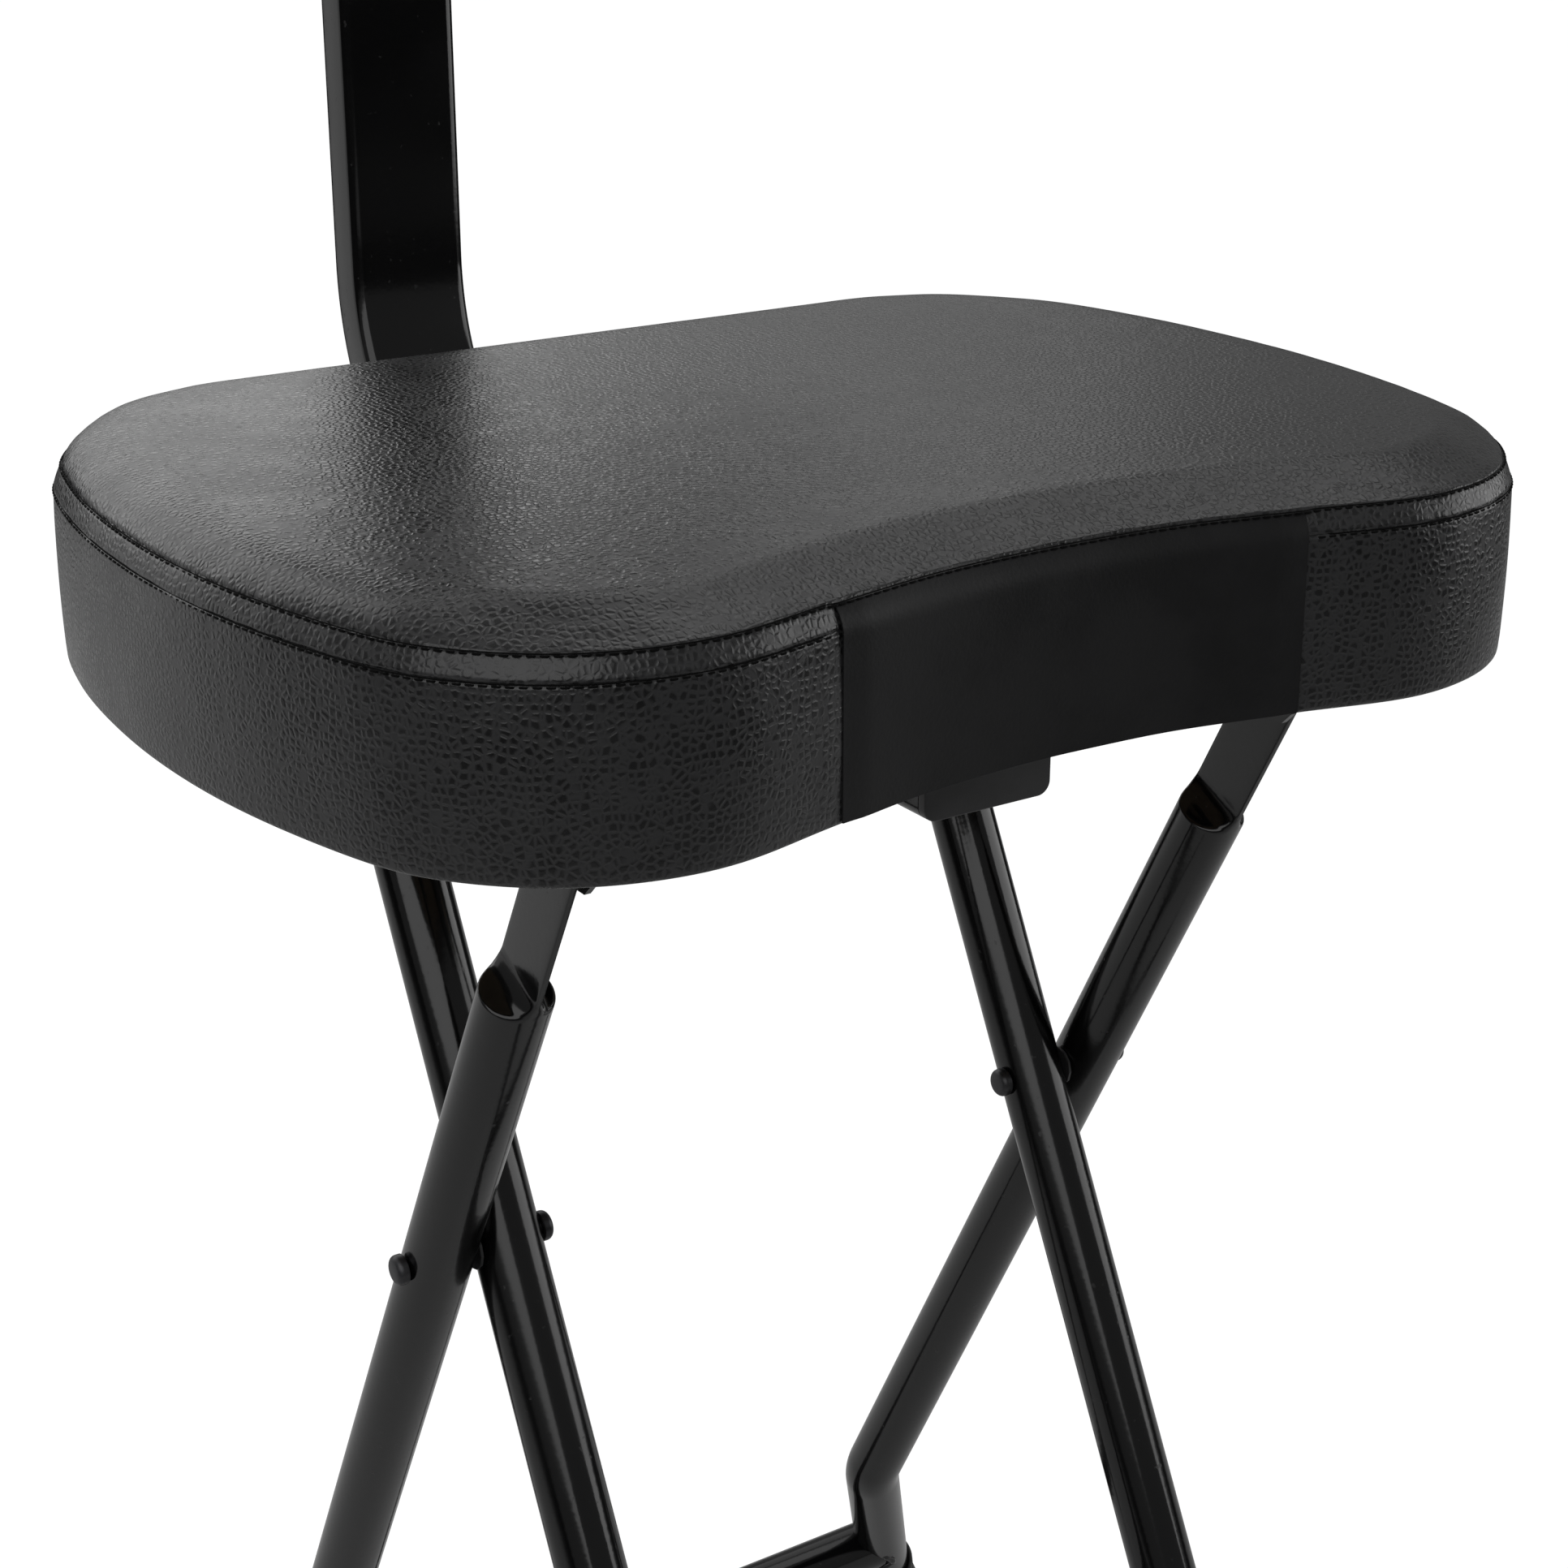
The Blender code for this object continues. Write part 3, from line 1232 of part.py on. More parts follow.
def build_frames(parts, cutters, materials):
    """Both leg frames with their feet, rivets and plugs."""
    paint, rubber, plastic, steel = (materials[key] for key in
                                     ("paint", "rubber", "plastic", "steel"))
    for side_name, side in SIDES.items():
        build_outer_leg(f"outer_leg_{side_name}", side, parts, cutters, paint)
        build_inner_leg(f"inner_leg_{side_name}", side, parts, cutters, paint)
        build_foot(f"rear_foot_{side_name}", side, OUTER_LEG_X, 1, parts, cutters, rubber)
        build_foot(f"front_foot_{side_name}", side, INNER_LEG_X, -1, parts, cutters, rubber)
        build_plug(f"inner_leg_plug_{side_name}", side, parts, plastic)
        build_rivet(f"leg_rivet_{side_name}", side, parts, steel)
        build_leg_washer(f"leg_washer_{side_name}", side, parts, plastic)
    build_straight_cross_tube("inner_top_bar", TOP_BAR_RISE, parts, cutters, paint)
    build_straight_cross_tube("footrest_bar", -FOOTREST_DROP, parts, cutters, paint)
    build_rear_brace("rear_brace", parts, cutters, paint)


def build_seat(parts, cutters, materials):
    """The cushion and everything fixed under it."""
    shape = seat_shape()
    place = seat_place()
    build_cover("seat_cover", shape, place, parts, materials["grained"])
    foam_base = COVER_THICKNESS + GAP + BOARD_THICKNESS + GAP
    build_foam("seat_foam", shape, foam_base, place, parts, materials["foam"])
    board = build_board("seat_board", shape, BOARD_THICKNESS, place, parts, materials["wood"])
    build_front_panel("seat_front_panel", shape, place, parts, materials["smooth"])
    flanges = {}
    for side_name, side in SIDES.items():
        flanges[f"bracket_screw_{side_name}"] = build_bracket(
            f"hinge_bracket_{side_name}", side, parts, cutters, materials["paint"])
        flanges[f"saddle_screw_{side_name}"] = build_saddle(
            f"bar_saddle_{side_name}", side, parts, materials["plastic"])
        build_pivot_bolt(f"pivot_bolt_{side_name}", side, parts, materials["steel"])
        build_pivot_nut(f"pivot_nut_{side_name}", side, parts, cutters, materials["steel"])
        build_pivot_washer(f"pivot_washer_{side_name}", side, parts, materials["plastic"])
    sleeves = {
        "front": build_sleeve("bar_sleeve_front", SLEEVE_FRONT_Y, parts, cutters,
                              materials["paint"]),
        "rear": build_sleeve("bar_sleeve_rear", SLEEVE_REAR_Y, parts, cutters,
                             materials["paint"], boss=True),
    }
    holes = []
    for name, (x, y, sheet) in screw_points().items():
        build_screw(name, x, y, sheet, parts, materials["steel"])
        mesh = screw_hole_mesh(name + "_hole", x, y, sheet)
        holes.append(mesh.copy())
        hole = make_cutter(name + "_hole", mesh, cutters)
        if name.startswith("sleeve"):
            cut(sleeves[name.rsplit("_", 1)[1]], hole)
        else:
            cut(flanges[name.rsplit("_", 1)[0]], hole)
    cut(board, make_cutter("board_holes", merge_meshes("board_holes", holes), cutters))


def build_back(parts, cutters, materials):
    """The back bar, its caps and knob, and the backrest pad."""
    build_bar("back_bar", parts, cutters, materials["paint"])
    path = bar_path()
    build_bar_cap("bar_cap_front", path[0], Vector((0, -1, 0)), parts, materials["plastic"])
    build_bar_cap("bar_cap_top", path[-1], Vector((0, 0, 1)), parts, materials["plastic"])
    build_knob("clamp_knob", parts, materials["plastic"])
    shape = back_shape()
    place = back_place()
    build_cover("back_cover", shape, place, parts, materials["grained"])
    foam_base = COVER_THICKNESS + GAP + BACK_BOARD_THICKNESS + GAP
    build_foam("back_foam", shape, foam_base, place, parts, materials["foam"])
    board = build_board("back_board", shape, BACK_BOARD_THICKNESS, place, parts,
                        materials["wood"])
    cut(board, back_screw_holes(cutters))
    for label, z in zip(("lower", "upper"), back_screw_heights()):
        build_back_screw(f"back_screw_{label}", z, parts, materials["steel"])


def main():
    """Build the stool."""
    clear_scene()
    parts = make_collection("folding_guitar_stool")
    cutters = make_collection("cutters")
    materials = {
        "paint": make_material("gloss_black_paint", (0.012, 0.012, 0.013), 0.18, 0.2),
        "grained": make_material("grained_leatherette", (0.028, 0.028, 0.03), 0.45),
        "smooth": make_material("smooth_leatherette", (0.014, 0.014, 0.015), 0.5),
        "rubber": make_material("black_rubber", (0.02, 0.02, 0.02), 0.8),
        "plastic": make_material("black_plastic", (0.025, 0.025, 0.027), 0.5),
        "steel": make_material("blackened_steel", (0.05, 0.05, 0.055), 0.35, 0.8),
        "wood": make_material("plywood", (0.45, 0.32, 0.19), 0.7),
        "foam": make_material("grey_foam", (0.35, 0.35, 0.33), 0.9),
    }
    build_frames(parts, cutters, materials)
    build_seat(parts, cutters, materials)
    build_back(parts, cutters, materials)


main()
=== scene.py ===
"""Looks of the folding guitar stool: fine meshes, finishes, light and camera.

Metres, +Z up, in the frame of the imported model. The stool stands on z = 0
and its front faces -Y.
"""
import json
from math import copysign, cos, exp, pi, radians, sin, sqrt, tan

import bmesh
import bpy
from bpy.props import FloatProperty, FloatVectorProperty, PointerProperty
from mathutils import Matrix, Vector, noise


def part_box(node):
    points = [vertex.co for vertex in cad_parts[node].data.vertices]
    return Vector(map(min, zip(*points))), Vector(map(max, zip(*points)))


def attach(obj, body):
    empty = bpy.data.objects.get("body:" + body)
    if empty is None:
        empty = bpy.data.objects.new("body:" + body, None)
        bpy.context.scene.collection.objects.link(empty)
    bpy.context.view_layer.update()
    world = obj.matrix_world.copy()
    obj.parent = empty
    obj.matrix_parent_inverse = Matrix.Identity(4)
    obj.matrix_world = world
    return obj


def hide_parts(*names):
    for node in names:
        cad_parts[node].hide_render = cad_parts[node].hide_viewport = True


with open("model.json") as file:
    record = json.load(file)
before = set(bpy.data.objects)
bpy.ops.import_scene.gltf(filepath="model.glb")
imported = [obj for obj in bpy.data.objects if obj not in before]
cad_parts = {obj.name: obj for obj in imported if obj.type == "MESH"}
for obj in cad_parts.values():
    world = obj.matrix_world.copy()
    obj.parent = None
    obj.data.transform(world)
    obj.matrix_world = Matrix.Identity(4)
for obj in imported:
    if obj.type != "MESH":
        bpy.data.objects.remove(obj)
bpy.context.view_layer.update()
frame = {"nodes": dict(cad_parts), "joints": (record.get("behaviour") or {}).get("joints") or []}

bl_info = {
    "name": "Folding guitar stool",
    "version": (1, 0, 0),
    "blender": (4, 5, 0),
    "location": "View3D > Sidebar > Stool",
    "description": "Builds the fine pieces, finishes and studio of a folding guitar stool",
    "category": "Object",
}

MM = 0.001
ACROSS = Vector((1, 0, 0))
SIDES = {"left": -1, "right": 1}

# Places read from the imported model
JOINTS = {joint["name"]: Vector(joint["pos_m"]) for joint in frame["joints"]}
CROSSING = JOINTS["leg_fold"]
SEAT_PIVOT = JOINTS["seat_tilt"]
LEAN_SLOPE = (CROSSING.y - SEAT_PIVOT.y) / (SEAT_PIVOT.z - CROSSING.z)
FOOTREST_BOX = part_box("footrest_bar")
TOP_BAR_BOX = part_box("inner_top_bar")
SEAT_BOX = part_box("seat_cover")
BACK_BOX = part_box("back_cover")
BAR_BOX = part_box("back_bar")
TUBE_RADIUS = (FOOTREST_BOX[1].z - FOOTREST_BOX[0].z) / 2

# Sizes repeated from the construction, which the frame's boxes don't give
GAP = 0.3 * MM
OUTER_LEG_X = 126.0 * MM
INNER_LEG_X = 102.5 * MM
BEND_DROP = 240.0 * MM
BEND_RADIUS = 40.0 * MM
SPLAY_SLOPE = 0.45
TUBE_END_HEIGHT = 12.0 * MM
TAB_THICKNESS = 2.6 * MM
TAB_CORNER_SHARE = 0.22
TAB_LENGTH = 52.0 * MM
FOOT_DIAMETER = 29.0 * MM
FOOT_TOP_DIAMETER = 26.0 * MM
FOOT_LENGTH = 34.0 * MM
RIVET_HEAD_DIAMETER = 9.6 * MM
RIVET_HEAD_HEIGHT = 3.8 * MM
PLUG_HEIGHT = 4.0 * MM
BAR_WIDTH = 44.0 * MM
BAR_THICKNESS = 20.0 * MM
BAR_CORNER = 4.2 * MM
BAR_BEND_RADIUS = 89.0 * MM
BOARD_CLEARANCE = 0.3 * MM
COVER_THICKNESS = 1.2 * MM
FRONT_PANEL_HALF_WIDTH = 80.0 * MM

# Forms of the fine pieces alone. The pressed mouth under a tab is shorter here
# than in the solids, to follow the photo; its bowl says how steeply it closes
# and its lip over what share of its length it begins.
PRESS_LENGTH = 9.5 * MM
PRESS_BOWL = 2.4
PRESS_LIP = 0.26
TUBE_END_SHARE = 0.4
WELD_RADIUS = 1.5 * MM
WELD_BEADS = 16
WELD_RIPPLE = 0.12
RIVET_SHANK = 2.5 * MM
BAR_CAP_EDGE = 0.5 * MM

# Fineness of the meshes
TUBE_SIDES = 64
BEND_STEPS = 24
PRESS_STEPS = 30
TAB_END_STEPS = 12
BAR_BEND_STEPS = 40
BAR_CORNER_STEPS = 8
OUTLINE_POINTS = 360
OUTLINE_BLUR = 2
BACK_CORNER_STEPS = 12
SIDE_STEPS = 18
SHOULDER_STEPS = 28
CROWN_STEPS = 16
PANEL_ROWS = 26
WELD_SIDES = 10
FOOT_SIDES = 56
PLUG_SIDES = 48
RIVET_SIDES = 32
KNOB_SIDES = 96
EDGE_STEPS = 6
SHARP_ANGLE = radians(38.0)
PANEL_SHARP_ANGLE = radians(50.0)
COVER_SHARP_ANGLE = radians(75.0)

# Half of the seat's outline, which runs just inside the upper seam, front to
# back: shares of the half width, of the front reach (negative) or back reach,
# and of the lobe
SEAT_OUTLINE_SHARES = (
    (0.200, -1.000, 0.12),
    (0.400, -1.000, 0.56),
    (0.590, -1.000, 1.00),
    (0.760, -1.000, 0.55),
    (0.880, -0.913, 0.00),
    (0.932, -0.732, 0.00),
    (0.982, -0.386, 0.00),
    (1.000, -0.039, 0.00),
    (0.990, 0.270, 0.00),
    (0.962, 0.507, 0.00),
    (0.916, 0.703, 0.00),
    (0.787, 0.919, 0.00),
    (0.672, 0.980, 0.00),
    (0.633, 1.000, 0.00),
    (0.300, 1.000, 0.00),
)

# Heights above a pad's base, and widths and offsets from its outline; the seam
# bulge is the offset of the lower seam
SEAT_PAD = {
    "lower_seam": 51.4 * MM,
    "upper_seam": 58.3 * MM,
    "crown": 66.9 * MM,
    "crown_rise": 2.0 * MM,
    "shoulder": 23.9 * MM,
    "seam_bulge": 4.0 * MM,
    "side_bulge": 4.8 * MM,
    "base_bulge": 4.2 * MM,
    "hem": 20.0 * MM,
    "board": 12.0 * MM,
}
SEAT_LOBE = 19.0 * MM
SEAT_FRONT_REACH = 129.7 * MM
SEAT_BACK_REACH = 148.0 * MM
BACK_PAD = {
    "lower_seam": 22.0 * MM,
    "upper_seam": 28.0 * MM,
    "crown": 36.0 * MM,
    "crown_rise": 2.5 * MM,
    "shoulder": 16.0 * MM,
    "seam_bulge": 2.4 * MM,
    "side_bulge": 3.0 * MM,
    "base_bulge": 2.4 * MM,
    "hem": 14.0 * MM,
    "board": 9.0 * MM,
}
BACK_CORNER = 48.0 * MM

# How a cover runs between its seams: the share of the seam bulge that is left
# at the upper seam, how the band falls back to it, the two handles of the
# shoulder's curve (share of the width, share of the rise), how fast the
# outline rounds off toward the crown, and the ridge behind the hollow front
UPPER_SEAM_SHARE = 0.3
BAND_FALL = 1.3
SHOULDER_HANDLES = ((0.11, 0.56), (0.27, 1.0))
ROUNDING = 1.1
RIDGE_SLOPE = 1.25
RIDGE_KNEE = 0.16
BASE_EDGE = 1.4 * MM

# Stitches: their drop under the seam, the dark cord in the fold that paints
# the fold's shadow, the lift over the front panel, and one stitch as (share of
# length, thickness, dip)
STITCH_DROP = 0.6 * MM
SHADOW_CORD_DEPTH = 0.24 * MM
SHADOW_CORD_SHARE = 0.55
PANEL_LIFT = 1.1 * MM
STITCH_SHAPE = ((0.0, 0.5, -0.9), (0.08, 0.9, -0.35), (0.25, 1.0, 0.0),
                (0.75, 1.0, 0.0), (0.92, 0.9, -0.35), (1.0, 0.5, -0.9))
STITCH_SIDES = 8
STITCH_PARTS = 8
SHADOW_CORD_SIDES = 6

# Floor: its size, the middle of the pool of light painted on it, the distances
# over which it fades, and the share of its colour that the camera and the
# painted darkening far from the stool get
FLOOR_HALF_SIZE = 16.0
PAINTED_LIGHT_CENTRE = (0.2, 0.95, 0.0)
PAINTED_LIGHT_FADE = (1.4, 2.6)
WHITE_FLOOR_FADE = (1.0, 4.0)
FAINT_FLOOR_SHARE = 0.34

# Softboxes: azimuth from straight behind, elevation, distance, width, height,
# the setting that gives the brightness, and the share of it that is used
SOFTBOX_AIM = 0.5
SOFTBOXES = {
    "left_softbox": (-128.5, 31, 1.9, 2.3, 1.6, "left_light", 1.0),
    "right_softbox": (111, 10, 1.9, 1.6, 1.0, "right_light", 1.0),
    "rear_left_softbox": (-5.5, 33, 2.1, 2.5, 1.95, "back_light", 1.0),
    "rear_right_softbox": (33, 26, 2.1, 0.8, 1.0, "back_light", 0.40),
    "low_left_softbox": (-36, 8, 2.1, 1.5, 1.7, "back_light", 0.45),
    "overhead_softbox": (60, 58, 1.9, 1.2, 1.0, "top_light", 1.0),
}

# The camera solved on the photo: its place from the leg crossing, its fall
# below level, and its turn to the right of straight back
CAMERA_PLACE = (-0.46065, -0.69997, 0.44541)
CAMERA_FALL = 20.738
CAMERA_TURN = 33.367


def length(name, description, default):
    """A property that holds a length in metres."""
    return FloatProperty(name=name, description=description, default=default,
                         min=0.0, unit="LENGTH", precision=5)


def colour(name, description, default):
    """A property that holds a colour."""
    return FloatVectorProperty(name=name, description=description, default=default,
                               subtype="COLOR", size=3, min=0.0, max=1.0)


def factor(name, description, default, high=1.0):
    """A property that holds a plain number."""
    return FloatProperty(name=name, description=description, default=default,
                         min=0.0, max=high, precision=3)


# Settings that a user would change

class StoolPaintSettings(bpy.types.PropertyGroup):
    """Finish of the tubes, the bar and the sheet metal."""
    paint: colour("Paint", "Colour of the gloss black powder coat", (0.003, 0.003, 0.0032))
    paint_roughness: factor("Paint roughness", "Roughness of the powder coat", 0.11)
    ripple: length("Ripple", "Width of the ripples in the powder coat", 2.4 * MM)
    steel: colour("Steel", "Colour of the blackened screws and rivets", (0.035, 0.035, 0.037))
    plastic: colour("Plastic", "Colour of the moulded plastic pieces", (0.026, 0.026, 0.027))
    rubber: colour("Rubber", "Colour of the feet", (0.016, 0.016, 0.016))


class StoolPadSettings(bpy.types.PropertyGroup):
    """Cover, seams and stitches of the cushions."""
    leather: colour("Leather", "Colour of the grained cover", (0.018, 0.018, 0.0185))
    panel: colour("Panel", "Colour of the smooth front panel", (0.0115, 0.0115, 0.012))
    # This colour also paints the shadow in the seams' folds, on a dark cord
    thread: colour("Thread", "Colour of the sewing thread", (0.002, 0.002, 0.002))
    grain: length("Grain", "Width of one pebble of the grain", 2.2 * MM)
    groove: length("Groove", "Depth of the seam grooves", 0.4 * MM)
    groove_width: length("Groove width", "Half width of a seam groove", 0.6 * MM)
    stitch_pitch: length("Stitch pitch", "Distance from stitch to stitch", 3.25 * MM)
    stitch_length: length("Stitch length", "Length of thread that shows", 2.4 * MM)
    thread_diameter: length("Thread diameter", "Thickness of the thread", 0.65 * MM)
    pucker: length("Pucker", "Height of the small puckers beside the seams", 0.35 * MM)
    puff: length("Puff", "Swelling of the leather beside a seam", 0.08 * MM)
    puff_reach: length("Puff reach", "Distance from a seam to its swelling", 2.4 * MM)


class StoolStageSettings(bpy.types.PropertyGroup):
    """Floor, light and camera."""
    floor: colour("Floor", "Colour of the floor", (0.58, 0.58, 0.58))
    # Painted glow: extra emission of the floor near the stool, seen only in reflections
    painted_floor_glow: factor("Floor shine", "Extra brightness of the floor in reflections", 0.10)
    left_light: factor("Left light", "Brightness of the left softbox", 1.25, 10.0)
    right_light: factor("Right light", "Brightness of the right softbox", 1.7, 10.0)
    top_light: factor("Top light", "Brightness of the softbox high on the right", 0.9, 10.0)
    back_light: factor("Back light", "Brightness of the softboxes behind", 1.12, 10.0)
    room: factor("Room", "Brightness of the dim room", 0.13, 10.0)
    lens: FloatProperty(name="Lens", description="Focal length for a 36 mm sensor",
                        default=66.08, min=1.0)


# Mesh helpers

def smooth_step(low, high, value):
    """Rise smoothly from 0 at low to 1 at high."""
    share = min(1.0, max(0.0, (value - low) / (high - low)))
    return share * share * (3 - 2 * share)


def mesh_from_bmesh(name, bm):
    """Write a bmesh to a new mesh with its faces pointing out."""
    bmesh.ops.recalc_face_normals(bm, faces=bm.faces)
    mesh = bpy.data.meshes.new(name)
    bm.to_mesh(mesh)
    bm.free()
    return mesh


def bridge(bm, loops, wrap=False):
    """Join loops of vertices, each with the same count, by quads."""
    pairs = list(zip(loops, loops[1:]))
    if wrap:
        pairs.append((loops[-1], loops[0]))
    for lower, upper in pairs:
        for i in range(len(lower)):
            j = (i + 1) % len(lower)
            bm.faces.new((lower[i], lower[j], upper[j], upper[i]))


def close_fan(bm, loop):
    """Close a loop of vertices with a fan round its middle."""
    middle = sum((vert.co for vert in loop), Vector()) / len(loop)
    pole = bm.verts.new(middle)
    for i, vert in enumerate(loop):
        bm.faces.new((vert, loop[(i + 1) % len(loop)], pole))


def add_loft(bm, rings):
    """Add a closed skin through rings of points."""
    loops = [[bm.verts.new(point) for point in ring] for ring in rings]
    bridge(bm, loops)
    close_fan(bm, loops[0])
    close_fan(bm, loops[-1])


def loft_mesh(name, rings):
    """A mesh of one closed skin through rings of points."""
    bm = bmesh.new()
    add_loft(bm, rings)
    return mesh_from_bmesh(name, bm)


def add_piece(name, mesh, body, finish, replaced=(), sharp=SHARP_ANGLE):
    """Link a mesh as a piece that rides on a body in one of the finishes.

    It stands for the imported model's pieces that are listed as replaced.
    """
    obj = bpy.data.objects.new(name, mesh)
    bpy.context.scene.collection.objects.link(obj)
    mesh.materials.append(material(finish))
    mesh.shade_smooth()
    mesh.set_sharp_from_angle(angle=sharp)
    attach(obj, body)
    if replaced:
        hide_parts(*replaced)
    return obj


def axis_matrix(origin, direction):
    """Return a matrix whose local Z runs along direction from origin."""
    turn = Vector((0, 0, 1)).rotation_difference(direction.normalized())
    return Matrix.Translation(origin) @ turn.to_matrix().to_4x4()


def circle(count):
    """Cosine and sine at even steps round a full turn."""
    angles = [2 * pi * i / count for i in range(count)]
    return [(cos(angle), sin(angle)) for angle in angles]


def quarter(steps):
    """Cosine and sine at even steps over a quarter turn, with both ends."""
    angles = [pi / 2 * i / steps for i in range(steps + 1)]
    return [(cos(angle), sin(angle)) for angle in angles]


def turned_rings(profile, origin, direction, sides):
    """Rings of a turned form from (radius, height) pairs along an axis."""
    place = axis_matrix(origin, direction)
    return [[place @ Vector((radius * c, radius * s, height)) for c, s in circle(sides)]
            for radius, height in profile]


def rounded_rectangle(width, height, corner, steps):
    """Points of a rectangle with round corners, anticlockwise."""
    points = []
    for index, (sx, sy) in enumerate(((1, 1), (-1, 1), (-1, -1), (1, -1))):
        for step in range(steps + 1):
            angle = pi / 2 * (index + step / steps)
            points.append((sx * (width / 2 - corner) + corner * cos(angle),
                           sy * (height / 2 - corner) + corner * sin(angle)))
    return points


def bend_path(start, corner, end, radius, steps):
    """Points of a straight, an arc of the given radius, and a straight."""
    first = (corner - start).normalized()
    second = (end - corner).normalized()
    angle = first.angle(second)
    arc_start = corner - first * (radius * tan(angle / 2))
    toward_centre = (second - first * first.dot(second)).normalized()
    centre = arc_start + toward_centre * radius
    points = [start]
    for step in range(steps + 1):
        turn = angle * step / steps
        points.append(centre + (first * sin(turn) - toward_centre * cos(turn)) * radius)
    return points + [end]


def tube_rings(path, across, section):
    """Carry a flat section along a path; section(i) gives its (p, q) points."""
    rings = []
    side = across.normalized()
    for i, place in enumerate(path):
        before = path[max(i - 1, 0)]
        after = path[min(i + 1, len(path) - 1)]
        along = (after - before).normalized()
        side = (side - along * along.dot(side)).normalized()
        other = along.cross(side)
        rings.append([place + side * p + other * q for p, q in section(i)])
    return rings


def round_section(station):
    """Points of the legs' round tube, the same at every station."""
    return [(TUBE_RADIUS * c, TUBE_RADIUS * s) for c, s in circle(TUBE_SIDES)]


# Finishes: small helpers for node trees

UNIT = (0.0, 1.0)


def new_node(tree, kind, **values):
    """Add a node and set its properties."""
    node = tree.nodes.new(kind)
    for key, value in values.items():
        setattr(node, key, value)
    return node


def feed(tree, socket, value):
    """Feed an input from a socket, or set it to a plain value."""
    if isinstance(value, bpy.types.NodeSocket):
        tree.links.new(value, socket)
    else:
        socket.default_value = value


def math_node(tree, operation, first, second):
    """Add a Math node; an input is a socket or a number. Returns its output."""
    node = new_node(tree, "ShaderNodeMath", operation=operation)
    feed(tree, node.inputs[0], first)
    feed(tree, node.inputs[1], second)
    return node.outputs[0]


def vector_node(tree, operation, first, second):
    """Add a Vector Math node with two inputs. Returns the node."""
    node = new_node(tree, "ShaderNodeVectorMath", operation=operation)
    feed(tree, node.inputs[0], first)
    feed(tree, node.inputs["Scale" if operation == "SCALE" else 1], second)
    return node


def range_node(tree, value, old, new):
    """Map a value smoothly from one range to another. Returns the output."""
    node = new_node(tree, "ShaderNodeMapRange", interpolation_type="SMOOTHSTEP")
    labels = ("Value", "From Min", "From Max", "To Min", "To Max")
    for label, number in zip(labels, (value, *old, *new)):
        feed(tree, node.inputs[label], number)
    return node.outputs["Result"]


def mix_colours(tree, share, first, second):
    """Blend two colours; each is a socket or a colour. Returns the output."""
    node = new_node(tree, "ShaderNodeMix", data_type="RGBA")
    tree.links.new(share, node.inputs["Factor"])
    for label, value in (("A", first), ("B", second)):
        socket = [s for s in node.inputs if s.name == label and s.type == "RGBA"][0]
        is_socket = isinstance(value, bpy.types.NodeSocket)
        feed(tree, socket, value if is_socket else (*value, 1.0))
    return [s for s in node.outputs if s.type == "RGBA"][0]


def new_group(name, size, numbers, outputs):
    """Start a node group that works on a place at a size.

    Returns its tree, what it is given, what it gives, and one over the size.
    """
    tree = bpy.data.node_groups.new(name, "ShaderNodeTree")
    tree.interface.new_socket("Place", in_out="INPUT", socket_type="NodeSocketVector")
    for label, default in (("Size", size), *numbers):
        socket = tree.interface.new_socket(label, in_out="INPUT", socket_type="NodeSocketFloat")
        socket.default_value = default
    for label in outputs:
        tree.interface.new_socket(label, in_out="OUTPUT", socket_type="NodeSocketFloat")
    given = tree.nodes.new("NodeGroupInput").outputs
    gives = tree.nodes.new("NodeGroupOutput").inputs
    return tree, given, gives, math_node(tree, "DIVIDE", 1.0, given["Size"])


def use_group(tree, name, place, **values):
    """Place a node group in a material, fed by the object's coordinates."""
    node = new_node(tree, "ShaderNodeGroup", node_tree=bpy.data.node_groups[name])
    tree.links.new(place, node.inputs["Place"])
    for label, value in values.items():
        node.inputs[label.replace("_", " ").capitalize()].default_value = value
    return node


def noise_node(tree, place, scale, share, detail, roughness=0.5):
    """A noise texture over a place, at a share of a scale."""
    node = new_node(tree, "ShaderNodeTexNoise")
    tree.links.new(place, node.inputs["Vector"])
    tree.links.new(math_node(tree, "MULTIPLY", scale, share), node.inputs["Scale"])
    node.inputs["Detail"].default_value = detail
    node.inputs["Roughness"].default_value = roughness
    return node


def make_pebble_group():
    """Leather grain: pebbles of uneven size between narrow creases."""
    drift_reach = 0.9
    unevenness = 0.75
    fine_height = 0.2
    tree, given, gives, scale = new_group(
        "Pebble grain", 3 * MM, (("Crease", 0.3), ("Wrinkle", 0.4)), ("Height", "Valley"))
    drift = noise_node(tree, given["Place"], scale, 0.28, 2.0)
    reach = math_node(tree, "MULTIPLY", given["Size"], drift_reach)
    spread = vector_node(tree, "SCALE", drift.outputs["Color"], reach)
    moved = vector_node(tree, "ADD", given["Place"], spread.outputs[0])
    cells = new_node(tree, "ShaderNodeTexVoronoi", feature="DISTANCE_TO_EDGE")
    cells.inputs["Randomness"].default_value = unevenness
    tree.links.new(moved.outputs[0], cells.inputs["Vector"])
    tree.links.new(scale, cells.inputs["Scale"])
    raised = range_node(tree, cells.outputs["Distance"], (0.0, given["Crease"]), UNIT)
    fine = noise_node(tree, given["Place"], scale, 2.6, 3.0)
    folds = noise_node(tree, given["Place"], scale, 0.35, 3.0)
    height = math_node(tree, "ADD", raised,
                       math_node(tree, "MULTIPLY", fine.outputs["Fac"], fine_height))
    height = math_node(tree, "ADD", height,
                       math_node(tree, "MULTIPLY", folds.outputs["Fac"], given["Wrinkle"]))
    tree.links.new(height, gives["Height"])
    tree.links.new(math_node(tree, "SUBTRACT", 1.0, raised), gives["Valley"])


